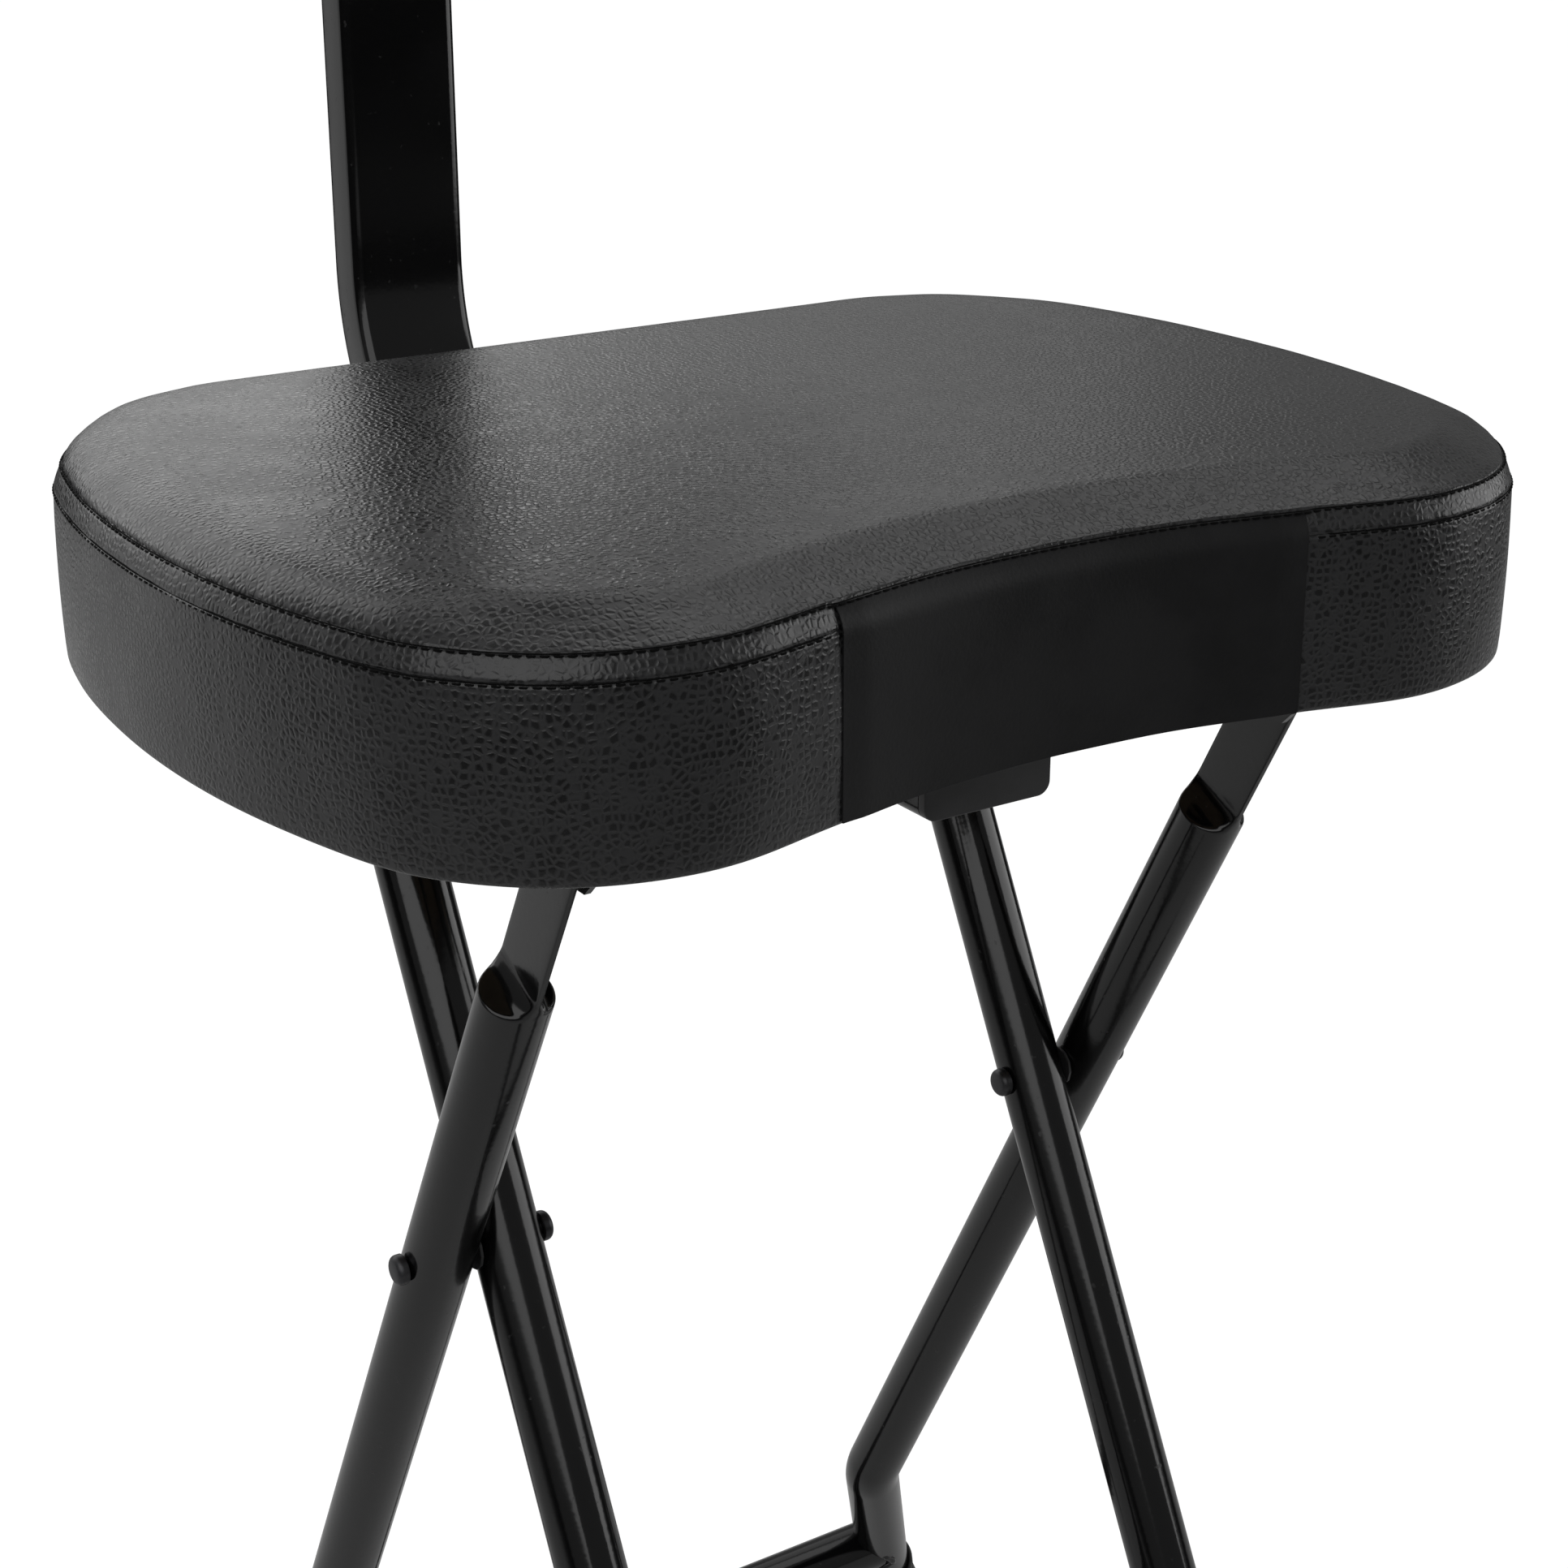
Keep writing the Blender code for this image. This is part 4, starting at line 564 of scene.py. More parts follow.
def make_ripple_group():
    """Orange peel of a powder coat, or the texture of a moulding."""
    tree, given, gives, scale = new_group("Fine ripple", 2 * MM, (("Wander", 0.3),), ("Height",))
    fine = noise_node(tree, given["Place"], scale, 1.0, 1.0)
    broad = noise_node(tree, given["Place"], scale, 0.12, 2.0)
    swell = math_node(tree, "MULTIPLY", broad.outputs["Fac"], given["Wander"])
    tree.links.new(math_node(tree, "ADD", fine.outputs["Fac"], swell), gives["Height"])


def make_mottle_group():
    """Slow variation of a finish, with a few small specks."""
    tree, given, gives, scale = new_group(
        "Soft mottle", 30 * MM, (("Specks", 0.2),), ("Value", "Speck"))
    cloud = noise_node(tree, given["Place"], scale, 1.0, 4.0, 0.6)
    tiny = noise_node(tree, given["Place"], scale, 24.0, 1.0)
    spots = range_node(tree, tiny.outputs["Fac"], (0.70, 0.78), UNIT)
    tree.links.new(range_node(tree, cloud.outputs["Fac"], (0.3, 0.7), UNIT), gives["Value"])
    tree.links.new(math_node(tree, "MULTIPLY", spots, given["Specks"]), gives["Speck"])


def make_wood_group():
    """Wood: streaks along X, with the fine grain between them."""
    tree, given, gives, scale = new_group("Wood grain", 4 * MM, (), ("Grain",))
    stretch = vector_node(tree, "MULTIPLY", given["Place"], (0.12, 1.0, 1.0))
    streaks = noise_node(tree, stretch.outputs[0], scale, 1.0, 5.0, 0.65)
    tree.links.new(streaks.outputs["Fac"], gives["Grain"])


def shade(tint, share):
    """A colour made darker or lighter by a share."""
    return [channel * share for channel in tint]


def start_material(name):
    """A new Principled material. Returns it, its tree, shader and coordinates."""
    made = bpy.data.materials.new(name)
    made.use_nodes = True
    tree = made.node_tree
    shader = tree.nodes["Principled BSDF"]
    place = new_node(tree, "ShaderNodeTexCoord").outputs["Object"]
    return made, tree, shader, place


def add_bump(tree, shader, height, distance):
    """Feed a height to the shader's normal; distance is its relief."""
    bump = new_node(tree, "ShaderNodeBump")
    bump.inputs["Distance"].default_value = distance
    tree.links.new(height, bump.inputs["Height"])
    tree.links.new(bump.outputs["Normal"], shader.inputs["Normal"])


def make_leather(name, tint, grain):
    """Grained artificial leather: dark glossy pebbles in a paler, duller net."""
    relief = 0.095 * MM
    valley_tone = 0.9
    valley_dullness = 0.12
    made, tree, shader, place = start_material(name)
    pebble = use_group(tree, "Pebble grain", place, size=grain, crease=0.31, wrinkle=0.5)
    mottle = use_group(tree, "Soft mottle", place, size=28 * MM).outputs["Value"]
    valley = pebble.outputs["Valley"]
    tone = mix_colours(tree, mottle, shade(tint, 0.35), tint)
    tone = mix_colours(tree, math_node(tree, "MULTIPLY", valley, valley_tone), tone,
                       shade(tint, 2.0))
    rough = math_node(tree, "ADD", range_node(tree, mottle, UNIT, (0.20, 0.25)),
                      math_node(tree, "MULTIPLY", valley, valley_dullness))
    tree.links.new(tone, shader.inputs["Base Color"])
    tree.links.new(rough, shader.inputs["Roughness"])
    add_bump(tree, shader, pebble.outputs["Height"], relief)
    return made


def make_textured(name, tint, size, relief, roughness, wander=0.4, patch=25 * MM,
                  light=1.35, specular=0.5, metallic=0.0):
    """A plain finish with a fine texture, paler and duller in slow patches."""
    made, tree, shader, place = start_material(name)
    shader.inputs["Specular IOR Level"].default_value = specular
    shader.inputs["Metallic"].default_value = metallic
    ripple = use_group(tree, "Fine ripple", place, size=size, wander=wander)
    mottle = use_group(tree, "Soft mottle", place, size=patch).outputs["Value"]
    tree.links.new(mix_colours(tree, mottle, tint, shade(tint, light)),
                   shader.inputs["Base Color"])
    tree.links.new(range_node(tree, mottle, UNIT, roughness), shader.inputs["Roughness"])
    add_bump(tree, shader, ripple.outputs["Height"], relief)
    return made


def make_paint(name, tint, roughness, ripple_size):
    """Gloss black powder coat with a faint orange peel and a little dust."""
    dust_tone = 0.010
    dust_dullness = 0.15
    made, tree, shader, place = start_material(name)
    ripple = use_group(tree, "Fine ripple", place, size=ripple_size, wander=1.0)
    mottle = use_group(tree, "Soft mottle", place, size=60 * MM, specks=1.0)
    speck = mottle.outputs["Speck"]
    dust = [channel + dust_tone for channel in tint]
    rough = range_node(tree, mottle.outputs["Value"], UNIT, (roughness, roughness + 0.05))
    rough = math_node(tree, "ADD", rough, math_node(tree, "MULTIPLY", speck, dust_dullness))
    tree.links.new(mix_colours(tree, speck, tint, dust), shader.inputs["Base Color"])
    tree.links.new(rough, shader.inputs["Roughness"])
    add_bump(tree, shader, ripple.outputs["Height"], 0.02 * MM)
    return made


def make_plywood(name):
    """Raw plywood of the boards."""
    dark = (0.26, 0.19, 0.12)
    light = (0.42, 0.315, 0.20)
    patch = (0.30, 0.21, 0.13)
    made, tree, shader, place = start_material(name)
    wood = use_group(tree, "Wood grain", place, size=4 * MM).outputs["Grain"]
    mottle = use_group(tree, "Soft mottle", place, size=70 * MM).outputs["Value"]
    grain = range_node(tree, wood, (0.3, 0.7), UNIT)
    tone = mix_colours(tree, math_node(tree, "MULTIPLY", mottle, 0.35),
                       mix_colours(tree, grain, dark, light), patch)
    tree.links.new(tone, shader.inputs["Base Color"])
    tree.links.new(range_node(tree, grain, UNIT, (0.62, 0.78)), shader.inputs["Roughness"])
    add_bump(tree, shader, wood, 0.12 * MM)
    return made


def material(finish):
    """Return one of the finishes, made the first time that it is asked for."""
    if finish in bpy.data.materials:
        return bpy.data.materials[finish]
    metal = bpy.context.scene.stool_paint
    pad = bpy.context.scene.stool_pad
    textured = {
        "smooth_leather": dict(tint=pad.panel, size=1.1 * MM, relief=0.05 * MM,
                               roughness=(0.42, 0.52), wander=1.5, patch=30 * MM,
                               light=1.25, specular=0.22),
        # The thread's finish also colours the dark cord that paints the shadow in the seams'
        # folds
        "thread_and_painted_fold_shadow": dict(tint=pad.thread, size=0.4 * MM, relief=0.05 * MM,
                              roughness=(0.8, 0.9), specular=0.12),
        "moulded_plastic": dict(tint=metal.plastic, size=0.5 * MM, relief=0.03 * MM,
                                roughness=(0.38, 0.48)),
        "foot_rubber": dict(tint=metal.rubber, size=0.8 * MM, relief=0.06 * MM,
                            roughness=(0.62, 0.72)),
        "blackened_steel": dict(tint=metal.steel, size=0.6 * MM, relief=0.01 * MM,
                                roughness=(0.3, 0.45), wander=0.8, patch=8 * MM,
                                light=1.9, metallic=0.85),
    }
    if finish in textured:
        return make_textured(finish, **textured[finish])
    if finish == "gloss_black_coat":
        return make_paint(finish, metal.paint, metal.paint_roughness, metal.ripple)
    if finish == "grained_leather":
        return make_leather(finish, pad.leather, pad.grain)
    return make_plywood(finish)


# Legs and cross tubes

def lean_up(facing):
    """Unit vector up the straight part of a leg; facing +1 has its foot at the rear."""
    return Vector((0, -facing * LEAN_SLOPE, 1)).normalized()


def splay_down(side, facing):
    """Unit vector down the splayed part of a leg."""
    return Vector((side * SPLAY_SLOPE, facing * LEAN_SLOPE, -1)).normalized()


def leg_crossing(side, half_width):
    """The point of a leg's axis beside the crossing's own axis."""
    return Vector((side * half_width, CROSSING.y, CROSSING.z))


def leg_corner(side, half_width, facing):
    """The point where the axes of a leg's two straight parts meet."""
    up = lean_up(facing)
    return leg_crossing(side, half_width) - up * (BEND_DROP / up.z)


def leg_point(side, half_width, facing, height):
    """The point of a leg's splayed axis at a height above the floor."""
    corner = leg_corner(side, half_width, facing)
    direction = splay_down(side, facing)
    return corner + direction * ((height - corner.z) / direction.z)


def leg_lower_path(top, side, half_width, facing):
    """Axis of a leg from a point on its straight part to its end."""
    corner = leg_corner(side, half_width, facing)
    end = leg_point(side, half_width, facing, TUBE_END_HEIGHT)
    return bend_path(top, corner, end, BEND_RADIUS, BEND_STEPS)


def tab_stations(pivot):
    """Distances above the crossing, top first, of the pressed end's rings."""
    tab_foot = pivot - TAB_LENGTH
    angles = [pi / 2 * (step + 0.4) / TAB_END_STEPS for step in range(TAB_END_STEPS)]
    round_end = [pivot + TUBE_RADIUS * cos(angle) for angle in angles]
    mouth = [tab_foot - PRESS_LENGTH * step / PRESS_STEPS for step in range(-2, PRESS_STEPS + 1)]
    return round_end + [pivot, pivot - TAB_LENGTH / 2] + mouth


def pressed_section(along, pivot):
    """Points across an outer leg at a distance above the crossing."""
    tab_foot = pivot - TAB_LENGTH
    depth = min(1.0, max(0.0, (along - tab_foot + PRESS_LENGTH) / PRESS_LENGTH))
    pressed = (1 - (1 - depth) ** PRESS_BOWL) * smooth_step(0, PRESS_LIP, depth)
    half = TUBE_RADIUS + (TAB_THICKNESS / 2 - TUBE_RADIUS) * pressed
    power = 1 + (TAB_CORNER_SHARE - 1) * pressed
    beyond = max(0.0, along - pivot) / TUBE_RADIUS
    width = sqrt(max(0.0, 1 - beyond ** 2))
    return [(copysign(half * abs(c) ** power, c), TUBE_RADIUS * s * width)
            for c, s in circle(TUBE_SIDES)]


def outer_leg_mesh(name, side):
    """A leg of the outer frame: rounded tab, straight tube, splayed foot."""
    up = lean_up(1)
    crossing = leg_crossing(side, OUTER_LEG_X)
    pivot = (SEAT_PIVOT - CROSSING).length
    stations = tab_stations(pivot)
    path = [crossing + up * station for station in stations[:-1]]
    path += leg_lower_path(crossing + up * stations[-1], side, OUTER_LEG_X, 1)

    def section(i):
        if i < len(stations):
            return pressed_section(stations[i], pivot)
        return round_section(i)

    return loft_mesh(name, tube_rings(path, ACROSS, section))


def inner_leg_top(side, beyond=0.0):
    """The upper end of an inner leg's axis, or a point beyond it."""
    up = lean_up(-1)
    top_bar_rise = (TOP_BAR_BOX[0].z + TOP_BAR_BOX[1].z) / 2 - CROSSING.z
    reach = top_bar_rise / up.z + TUBE_RADIUS + beyond
    return leg_crossing(side, INNER_LEG_X) + up * reach


def inner_leg_mesh(name, side):
    """A leg of the inner frame, from its plugged top to its foot."""
    path = leg_lower_path(inner_leg_top(side), side, INNER_LEG_X, -1)
    return loft_mesh(name, tube_rings(path, ACROSS, round_section))


def weld_stations(centre, tube_along, leg_along):
    """Points where a cross tube meets a leg, each with its outward direction."""
    across = leg_along.cross(tube_along).normalized()
    up = tube_along.cross(across)
    stations = []
    for c, s in circle(TUBE_SIDES):
        spoke = across * c + up * s
        offset = (spoke - leg_along * spoke.dot(leg_along)) * TUBE_RADIUS
        sideways = offset - tube_along * offset.dot(tube_along)
        setback = sqrt(max(0.0, TUBE_RADIUS ** 2 - sideways.length_squared))
        stations.append((centre + spoke * TUBE_RADIUS + tube_along * setback, spoke))
    return stations


def add_weld(bm, centre, tube_along, leg_along):
    """Add a weld bead, slightly rippled, where a cross tube meets a leg."""
    loops = []
    stations = weld_stations(centre, tube_along, leg_along)
    for i, (place, spoke) in enumerate(stations):
        after = stations[(i + 1) % len(stations)][0]
        before = stations[i - 1][0]
        other = (after - before).normalized().cross(spoke).normalized()
        wave = sin(i * 2 * pi * WELD_BEADS / len(stations))
        radius = WELD_RADIUS * (1 + WELD_RIPPLE * wave)
        loops.append([bm.verts.new(place + (spoke * c + other * s) * radius)
                      for c, s in circle(WELD_SIDES)])
    bridge(bm, loops, wrap=True)


def cross_tube_mesh(name, centres, leg_alongs):
    """A cross tube that ends inside the legs' walls, with its weld beads."""
    span = (centres[1] - centres[0]).normalized()
    inset = span * (TUBE_RADIUS * TUBE_END_SHARE)
    ends = [centres[0] + inset, centres[1] - inset]
    bm = bmesh.new()
    add_loft(bm, tube_rings(ends, leg_alongs[0], round_section))
    add_weld(bm, centres[0], span, leg_alongs[0])
    add_weld(bm, centres[1], -span, leg_alongs[1])
    return mesh_from_bmesh(name, bm)


def build_legs():
    """Both pairs of legs and the three tubes across them."""
    frames = (("outer", outer_leg_mesh), ("inner", inner_leg_mesh))
    for side_name, side in SIDES.items():
        for label, make_mesh in frames:
            name = f"{side_name}_{label}_leg_tube"
            add_piece(name, make_mesh(name, side), f"{label}_frame", "gloss_black_coat",
                      (f"{label}_leg_{side_name}",))
    for name, node in (("top_cross_tube", "inner_top_bar"), ("footrest_tube", "footrest_bar")):
        low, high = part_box(node)
        middle = (low + high) / 2
        centres = [Vector((side * INNER_LEG_X, middle.y, middle.z)) for side in SIDES.values()]
        mesh = cross_tube_mesh(name, centres, [lean_up(-1)] * 2)
        add_piece(name, mesh, "inner_frame", "gloss_black_coat", (node,))
    low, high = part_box("rear_brace")
    height = (low.z + high.z) / 2
    centres = [leg_point(side, OUTER_LEG_X, 1, height) for side in SIDES.values()]
    alongs = [splay_down(side, 1) for side in SIDES.values()]
    add_piece("rear_brace_tube", cross_tube_mesh("rear_brace_tube", centres, alongs),
              "outer_frame", "gloss_black_coat", ("rear_brace",))


# Feet, plugs and rivets

def foot_mesh(name, end, up):
    """A ribbed rubber boot, cut flat by the floor."""
    upper = FOOT_TOP_DIAMETER / 2
    lower = FOOT_DIAMETER / 2
    bore = TUBE_RADIUS + GAP
    bore_depth = 8 * MM
    lip = 0.6 * MM
    rib = 0.7 * MM
    profile = [(bore, FOOT_LENGTH - bore_depth), (bore, FOOT_LENGTH - lip),
               (bore + lip, FOOT_LENGTH), (upper - lip, FOOT_LENGTH),
               (upper, FOOT_LENGTH - lip), (upper, FOOT_LENGTH - 4 * MM)]
    for turn in range(3):
        top = FOOT_LENGTH - (5 + 3 * turn) * MM
        profile += [(upper - rib, top), (upper - rib, top - rib), (upper, top - 2 * rib),
                    (upper, top - 2 * MM)]
    profile += [(upper, 18 * MM), ((upper + lower) / 2, 12 * MM), (lower, 6 * MM)]
    rings = turned_rings(profile, end, up, FOOT_SIDES)
    place = axis_matrix(end, up)
    for rise, inset in ((1.2 * MM, 0.0), (0.3 * MM, 0.3 * MM), (0.0, 1.2 * MM)):
        ring = []
        for c, s in circle(FOOT_SIDES):
            point = place @ Vector(((lower - inset) * c, (lower - inset) * s, 0))
            ring.append(point + up * ((rise - point.z) / up.z))
        rings.append(ring)
    return loft_mesh(name, rings)


def build_feet():
    """Rubber boots on the four leg ends."""
    ends = {"rear": ("outer_frame", OUTER_LEG_X, 1), "front": ("inner_frame", INNER_LEG_X, -1)}
    for end_name, (body, half_width, facing) in ends.items():
        for side_name, side in SIDES.items():
            name = f"{end_name}_{side_name}_rubber_boot"
            end = leg_point(side, half_width, facing, TUBE_END_HEIGHT)
            mesh = foot_mesh(name, end, -splay_down(side, facing))
            add_piece(name, mesh, body, "foot_rubber", (f"{end_name}_foot_{side_name}",))


def build_plugs():
    """Domed plugs in the tops of the inner legs."""
    rim = 1.0 * MM
    profile = [(TUBE_RADIUS - 0.5 * MM, 0), (TUBE_RADIUS, 0.4 * MM), (TUBE_RADIUS, rim)]
    profile += [(TUBE_RADIUS * c, rim + (PLUG_HEIGHT - rim) * s) for c, s in quarter(12)[1:-1]]
    for side_name, side in SIDES.items():
        name = f"{side_name}_leg_plug"
        rings = turned_rings(profile, inner_leg_top(side, GAP), lean_up(-1), PLUG_SIDES)
        add_piece(name, loft_mesh(name, rings), "inner_frame", "moulded_plastic",
                  (f"inner_leg_plug_{side_name}",))


def rivet_head():
    """A low round head from its rim to its top: (radius, height)."""
    radius = RIVET_HEAD_DIAMETER / 2
    bevel = 0.3 * MM
    rim = 0.45 * RIVET_HEAD_HEIGHT
    dome = (RIVET_HEAD_HEIGHT - rim) * 0.93
    profile = [(radius - bevel, 0), (radius, bevel), (radius, rim)]
    profile += [(radius * (0.6 + 0.4 * c), rim + dome * s) for c, s in quarter(8)[1:-1]]
    return profile + [(radius * 0.45, RIVET_HEAD_HEIGHT * 0.985),
                      (radius * 0.2, RIVET_HEAD_HEIGHT)]


def build_rivets():
    """Round rivet heads on both faces of each crossing."""
    head = rivet_head()
    for side_name, side in SIDES.items():
        name = f"{side_name}_crossing_rivet"
        low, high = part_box(f"leg_rivet_{side_name}")
        x_in, x_out = (low.x, high.x) if side > 0 else (high.x, low.x)
        inner = Vector((x_in + side * RIVET_HEAD_HEIGHT, CROSSING.y, CROSSING.z))
        outer = Vector((x_out - side * RIVET_HEAD_HEIGHT, CROSSING.y, CROSSING.z))
        span = (outer - inner).length
        profile = [(out, -along) for out, along in reversed(head)]
        profile += [(RIVET_SHANK, 0), (RIVET_SHANK, span)]
        profile += [(out, span + along) for out, along in head]
        mesh = loft_mesh(name, turned_rings(profile, inner, outer - inner, RIVET_SIDES))
        add_piece(name, mesh, "outer_frame", "blackened_steel", (f"leg_rivet_{side_name}",))


# Padded pieces

def closed_curve(points, count):
    """Resample a smooth closed curve through points to even spacing."""
    total = len(points)
    fine = []
    steps = count // 8
    for i in range(total):
        before, start = points[i - 1], points[i]
        end, after = points[(i + 1) % total], points[(i + 2) % total]
        for step in range(steps):
            t = step / steps
            fine.append(0.5 * ((2 * start) + (end - before) * t
                               + (2 * before - 5 * start + 4 * end - after) * t ** 2
                               + (3 * start - before - 3 * end + after) * t ** 3))
    return spaced_points(fine, count)


def spaced_points(points, count):
    """Points at even spacing along a closed chain, from its first point."""
    following = points[1:] + points[:1]
    lengths = [(after - point).length for point, after in zip(points, following)]
    spacing = sum(lengths) / count
    resampled = []
    travelled = 0.0
    for point, after, span in zip(points, following, lengths):
        while len(resampled) < count and len(resampled) * spacing < travelled + span:
            share = (len(resampled) * spacing - travelled) / span
            resampled.append(point.lerp(after, share))
        travelled += span
    return resampled


def blurred(vectors, reach):
    """Average every vector of a closed chain over its neighbours, twice."""
    count = len(vectors)
    for turn in range(2):
        total = sum((vectors[i] for i in range(-reach, reach + 1)), Vector((0, 0)))
        averaged = []
        for i in range(count):
            averaged.append(total / (2 * reach + 1))
            total = total + vectors[(i + reach + 1) % count] - vectors[i - reach]
        vectors = averaged
    return vectors


def outward_normals(points):
    """Outward unit vectors of a closed flat outline, listed anticlockwise."""
    normals = []
    for i in range(len(points)):
        along = points[(i + 1) % len(points)] - points[i - 1]
        normals.append(Vector((along.y, -along.x)).normalized())
    return normals


def seat_outline():
    """The seat's outline, anticlockwise from the middle of the front."""
    half_width = (SEAT_BOX[1].x - SEAT_BOX[0].x) / 2 - SEAT_PAD["side_bulge"]
    half = []
    for across, along, lobe in SEAT_OUTLINE_SHARES:
        reach = SEAT_FRONT_REACH if along < 0 else SEAT_BACK_REACH
        half.append(Vector((across * half_width, along * reach - lobe * SEAT_LOBE)))
    mirrored = [Vector((-point.x, point.y)) for point in reversed(half)]
    points = [Vector((0, -SEAT_FRONT_REACH))] + half
    points += [Vector((0, SEAT_BACK_REACH))] + mirrored
    return blurred(closed_curve(points, OUTLINE_POINTS), OUTLINE_BLUR)


def back_outline():
    """The backrest's outline: a rectangle with wide round corners."""
    width = BACK_BOX[1].x - BACK_BOX[0].x - 2 * BACK_PAD["side_bulge"]
    height = BACK_BOX[1].z - BACK_BOX[0].z - 2 * BACK_PAD["side_bulge"]
    points = rounded_rectangle(width, height, BACK_CORNER, BACK_CORNER_STEPS)
    return spaced_points([Vector(point) for point in points], OUTLINE_POINTS)


def folded_rise(share):
    """Rise of a shoulder that slopes to a soft ridge, at a share of its width."""
    line = share * RIDGE_SLOPE
    blend = max(RIDGE_KNEE - abs(line - 1.0), 0.0) / RIDGE_KNEE
    return min(line, 1.0) - blend * blend * RIDGE_KNEE / 4


def curve(t, first, second):
    """A cubic curve from 0 to 1 with two handles, at t."""
    return 3 * t * (1 - t) ** 2 * first + 3 * t * t * (1 - t) * second + t ** 3


class Pad:
    """A padded cover: its outline, its profile and its place."""

    def __init__(self, outline, sizes, place, front_ridge):
        self.outline = outline
        self.normals = outward_normals(outline)
        self.sizes = sizes
        self.place = place
        self.front_ridge = front_ridge
        self.settings = bpy.context.scene.stool_pad

    def puff(self, distance):
        """Swelling of the leather at a distance from a seam."""
        share = distance / self.settings.puff_reach
        return self.settings.puff * share * exp(1 - share)

    def side_offset(self, height):
        """Outward offset of the side at a height above the base."""
        size = self.sizes
        lower, upper = size["lower_seam"], size["upper_seam"]
        if height <= lower:
            share = height / lower
            straight = size["base_bulge"] + (size["seam_bulge"] - size["base_bulge"]) * share
            swell = size["side_bulge"] - (size["base_bulge"] + size["seam_bulge"]) / 2
            return straight + swell * 4 * share * (1 - share)
        share = (height - lower) / (upper - lower)
        return size["seam_bulge"] * (1 - (1 - UPPER_SEAM_SHARE) * share ** BAND_FALL)

    def side_stations(self):
        """Profile of the side from the base to the upper seam: (offset, height)."""
        size = self.sizes
        deep = self.settings.groove
        wide = self.settings.groove_width
        lower, upper = size["lower_seam"], size["upper_seam"]
        stations = [(size["base_bulge"] - BASE_EDGE + BASE_EDGE * s, BASE_EDGE - BASE_EDGE * c)
                    for c, s in quarter(4)]
        for step in range(1, SIDE_STEPS + 1):
            share = 1 - (1 - step / SIDE_STEPS) ** 1.5
            height = BASE_EDGE + (lower - wide - BASE_EDGE) * share
            stations.append((self.side_offset(height) + self.puff(lower - height), height))
        for share in (-0.8, -0.4, 0.0, 0.4, 0.8, 1.0):
            height = lower + wide * share
            stations.append((self.side_offset(height) - deep * (1 - abs(share)), height))
        for step in range(1, 6):
            height = lower + wide + (upper - lower - 2 * wide) * step / 6
            stations.append((self.side_offset(height), height))
        for share in (-1.0, -0.8, -0.4, 0.0):
            height = upper + wide * share
            stations.append((self.side_offset(height) - deep * (1 + share), height))
        return stations

    def shoulder_rings(self):
        """Rings from the upper seam to the edge of the crown."""
        size = self.sizes
        rise = size["crown"] - size["upper_seam"]
        spacing = (self.outline[1] - self.outline[0]).length
        reach = size["seam_bulge"] * UPPER_SEAM_SHARE
        start = self.settings.groove_width / size["shoulder"]
        out_share, up_share = 0.6, 0.8
        rings = []
        for step in range(1, SHOULDER_STEPS + 1):
            share, rounded = [curve(step / SHOULDER_STEPS, first, second)
                              for first, second in zip(*SHOULDER_HANDLES)]
            folded = folded_rise(share)
            inset = (size["shoulder"] + reach) * share - reach
            spokes = blurred(self.normals, int(ROUNDING * max(inset, 0.0) / spacing))
            swell = self.puff(inset + reach) - self.settings.groove * max(0.0, 1 - share / start)
            ring = []
            for i, spoke in enumerate(spokes):
                ridge = self.ridge(i)
                high = rounded * (1 - ridge) + folded * ridge
                flat = self.outline[i] - spoke * inset + self.normals[i] * (swell * out_share)
                ring.append(Vector((flat.x, flat.y, size["upper_seam"] + rise * high
                                    + swell * up_share)))
            rings.append(ring)
        return rings

    def rings(self):
        """All rings of the cover, from the pocket for the board to the crown."""
        size = self.sizes
        wall = COVER_THICKNESS
        pocket = size["base_bulge"] - wall
        hem = size["base_bulge"] - size["hem"]
        board_top = wall + BOARD_CLEARANCE * 2 + size["board"]
        stations = [(pocket, board_top), (pocket, wall), (hem, wall), (hem, 0.0)]
        stations += self.side_stations()
        rings = [[self.point(i, offset, height) for i in range(len(self.outline))]
                 for offset, height in stations]
        rings += self.shoulder_rings()
        edge = rings[-1]
        centre = sum(edge, Vector()) / len(edge)
        for step in range(1, CROWN_STEPS):
            share = 1 - step / CROWN_STEPS
            lift = Vector((0, 0, size["crown_rise"] * (1 - share ** 2)))
            rings.append([centre.lerp(point, share) + lift for point in edge])
        return rings

    def ridge(self, i):
        """How far the shoulder at an outline point folds to a ridge, 0 to 1."""
        return self.front_ridge * smooth_step(0.25, 0.85, -self.normals[i].y)

    def point(self, i, offset, height):
        """A point beside the outline at an offset and a height."""
        flat = self.outline[i] + self.normals[i] * offset
        return Vector((flat.x, flat.y, height))

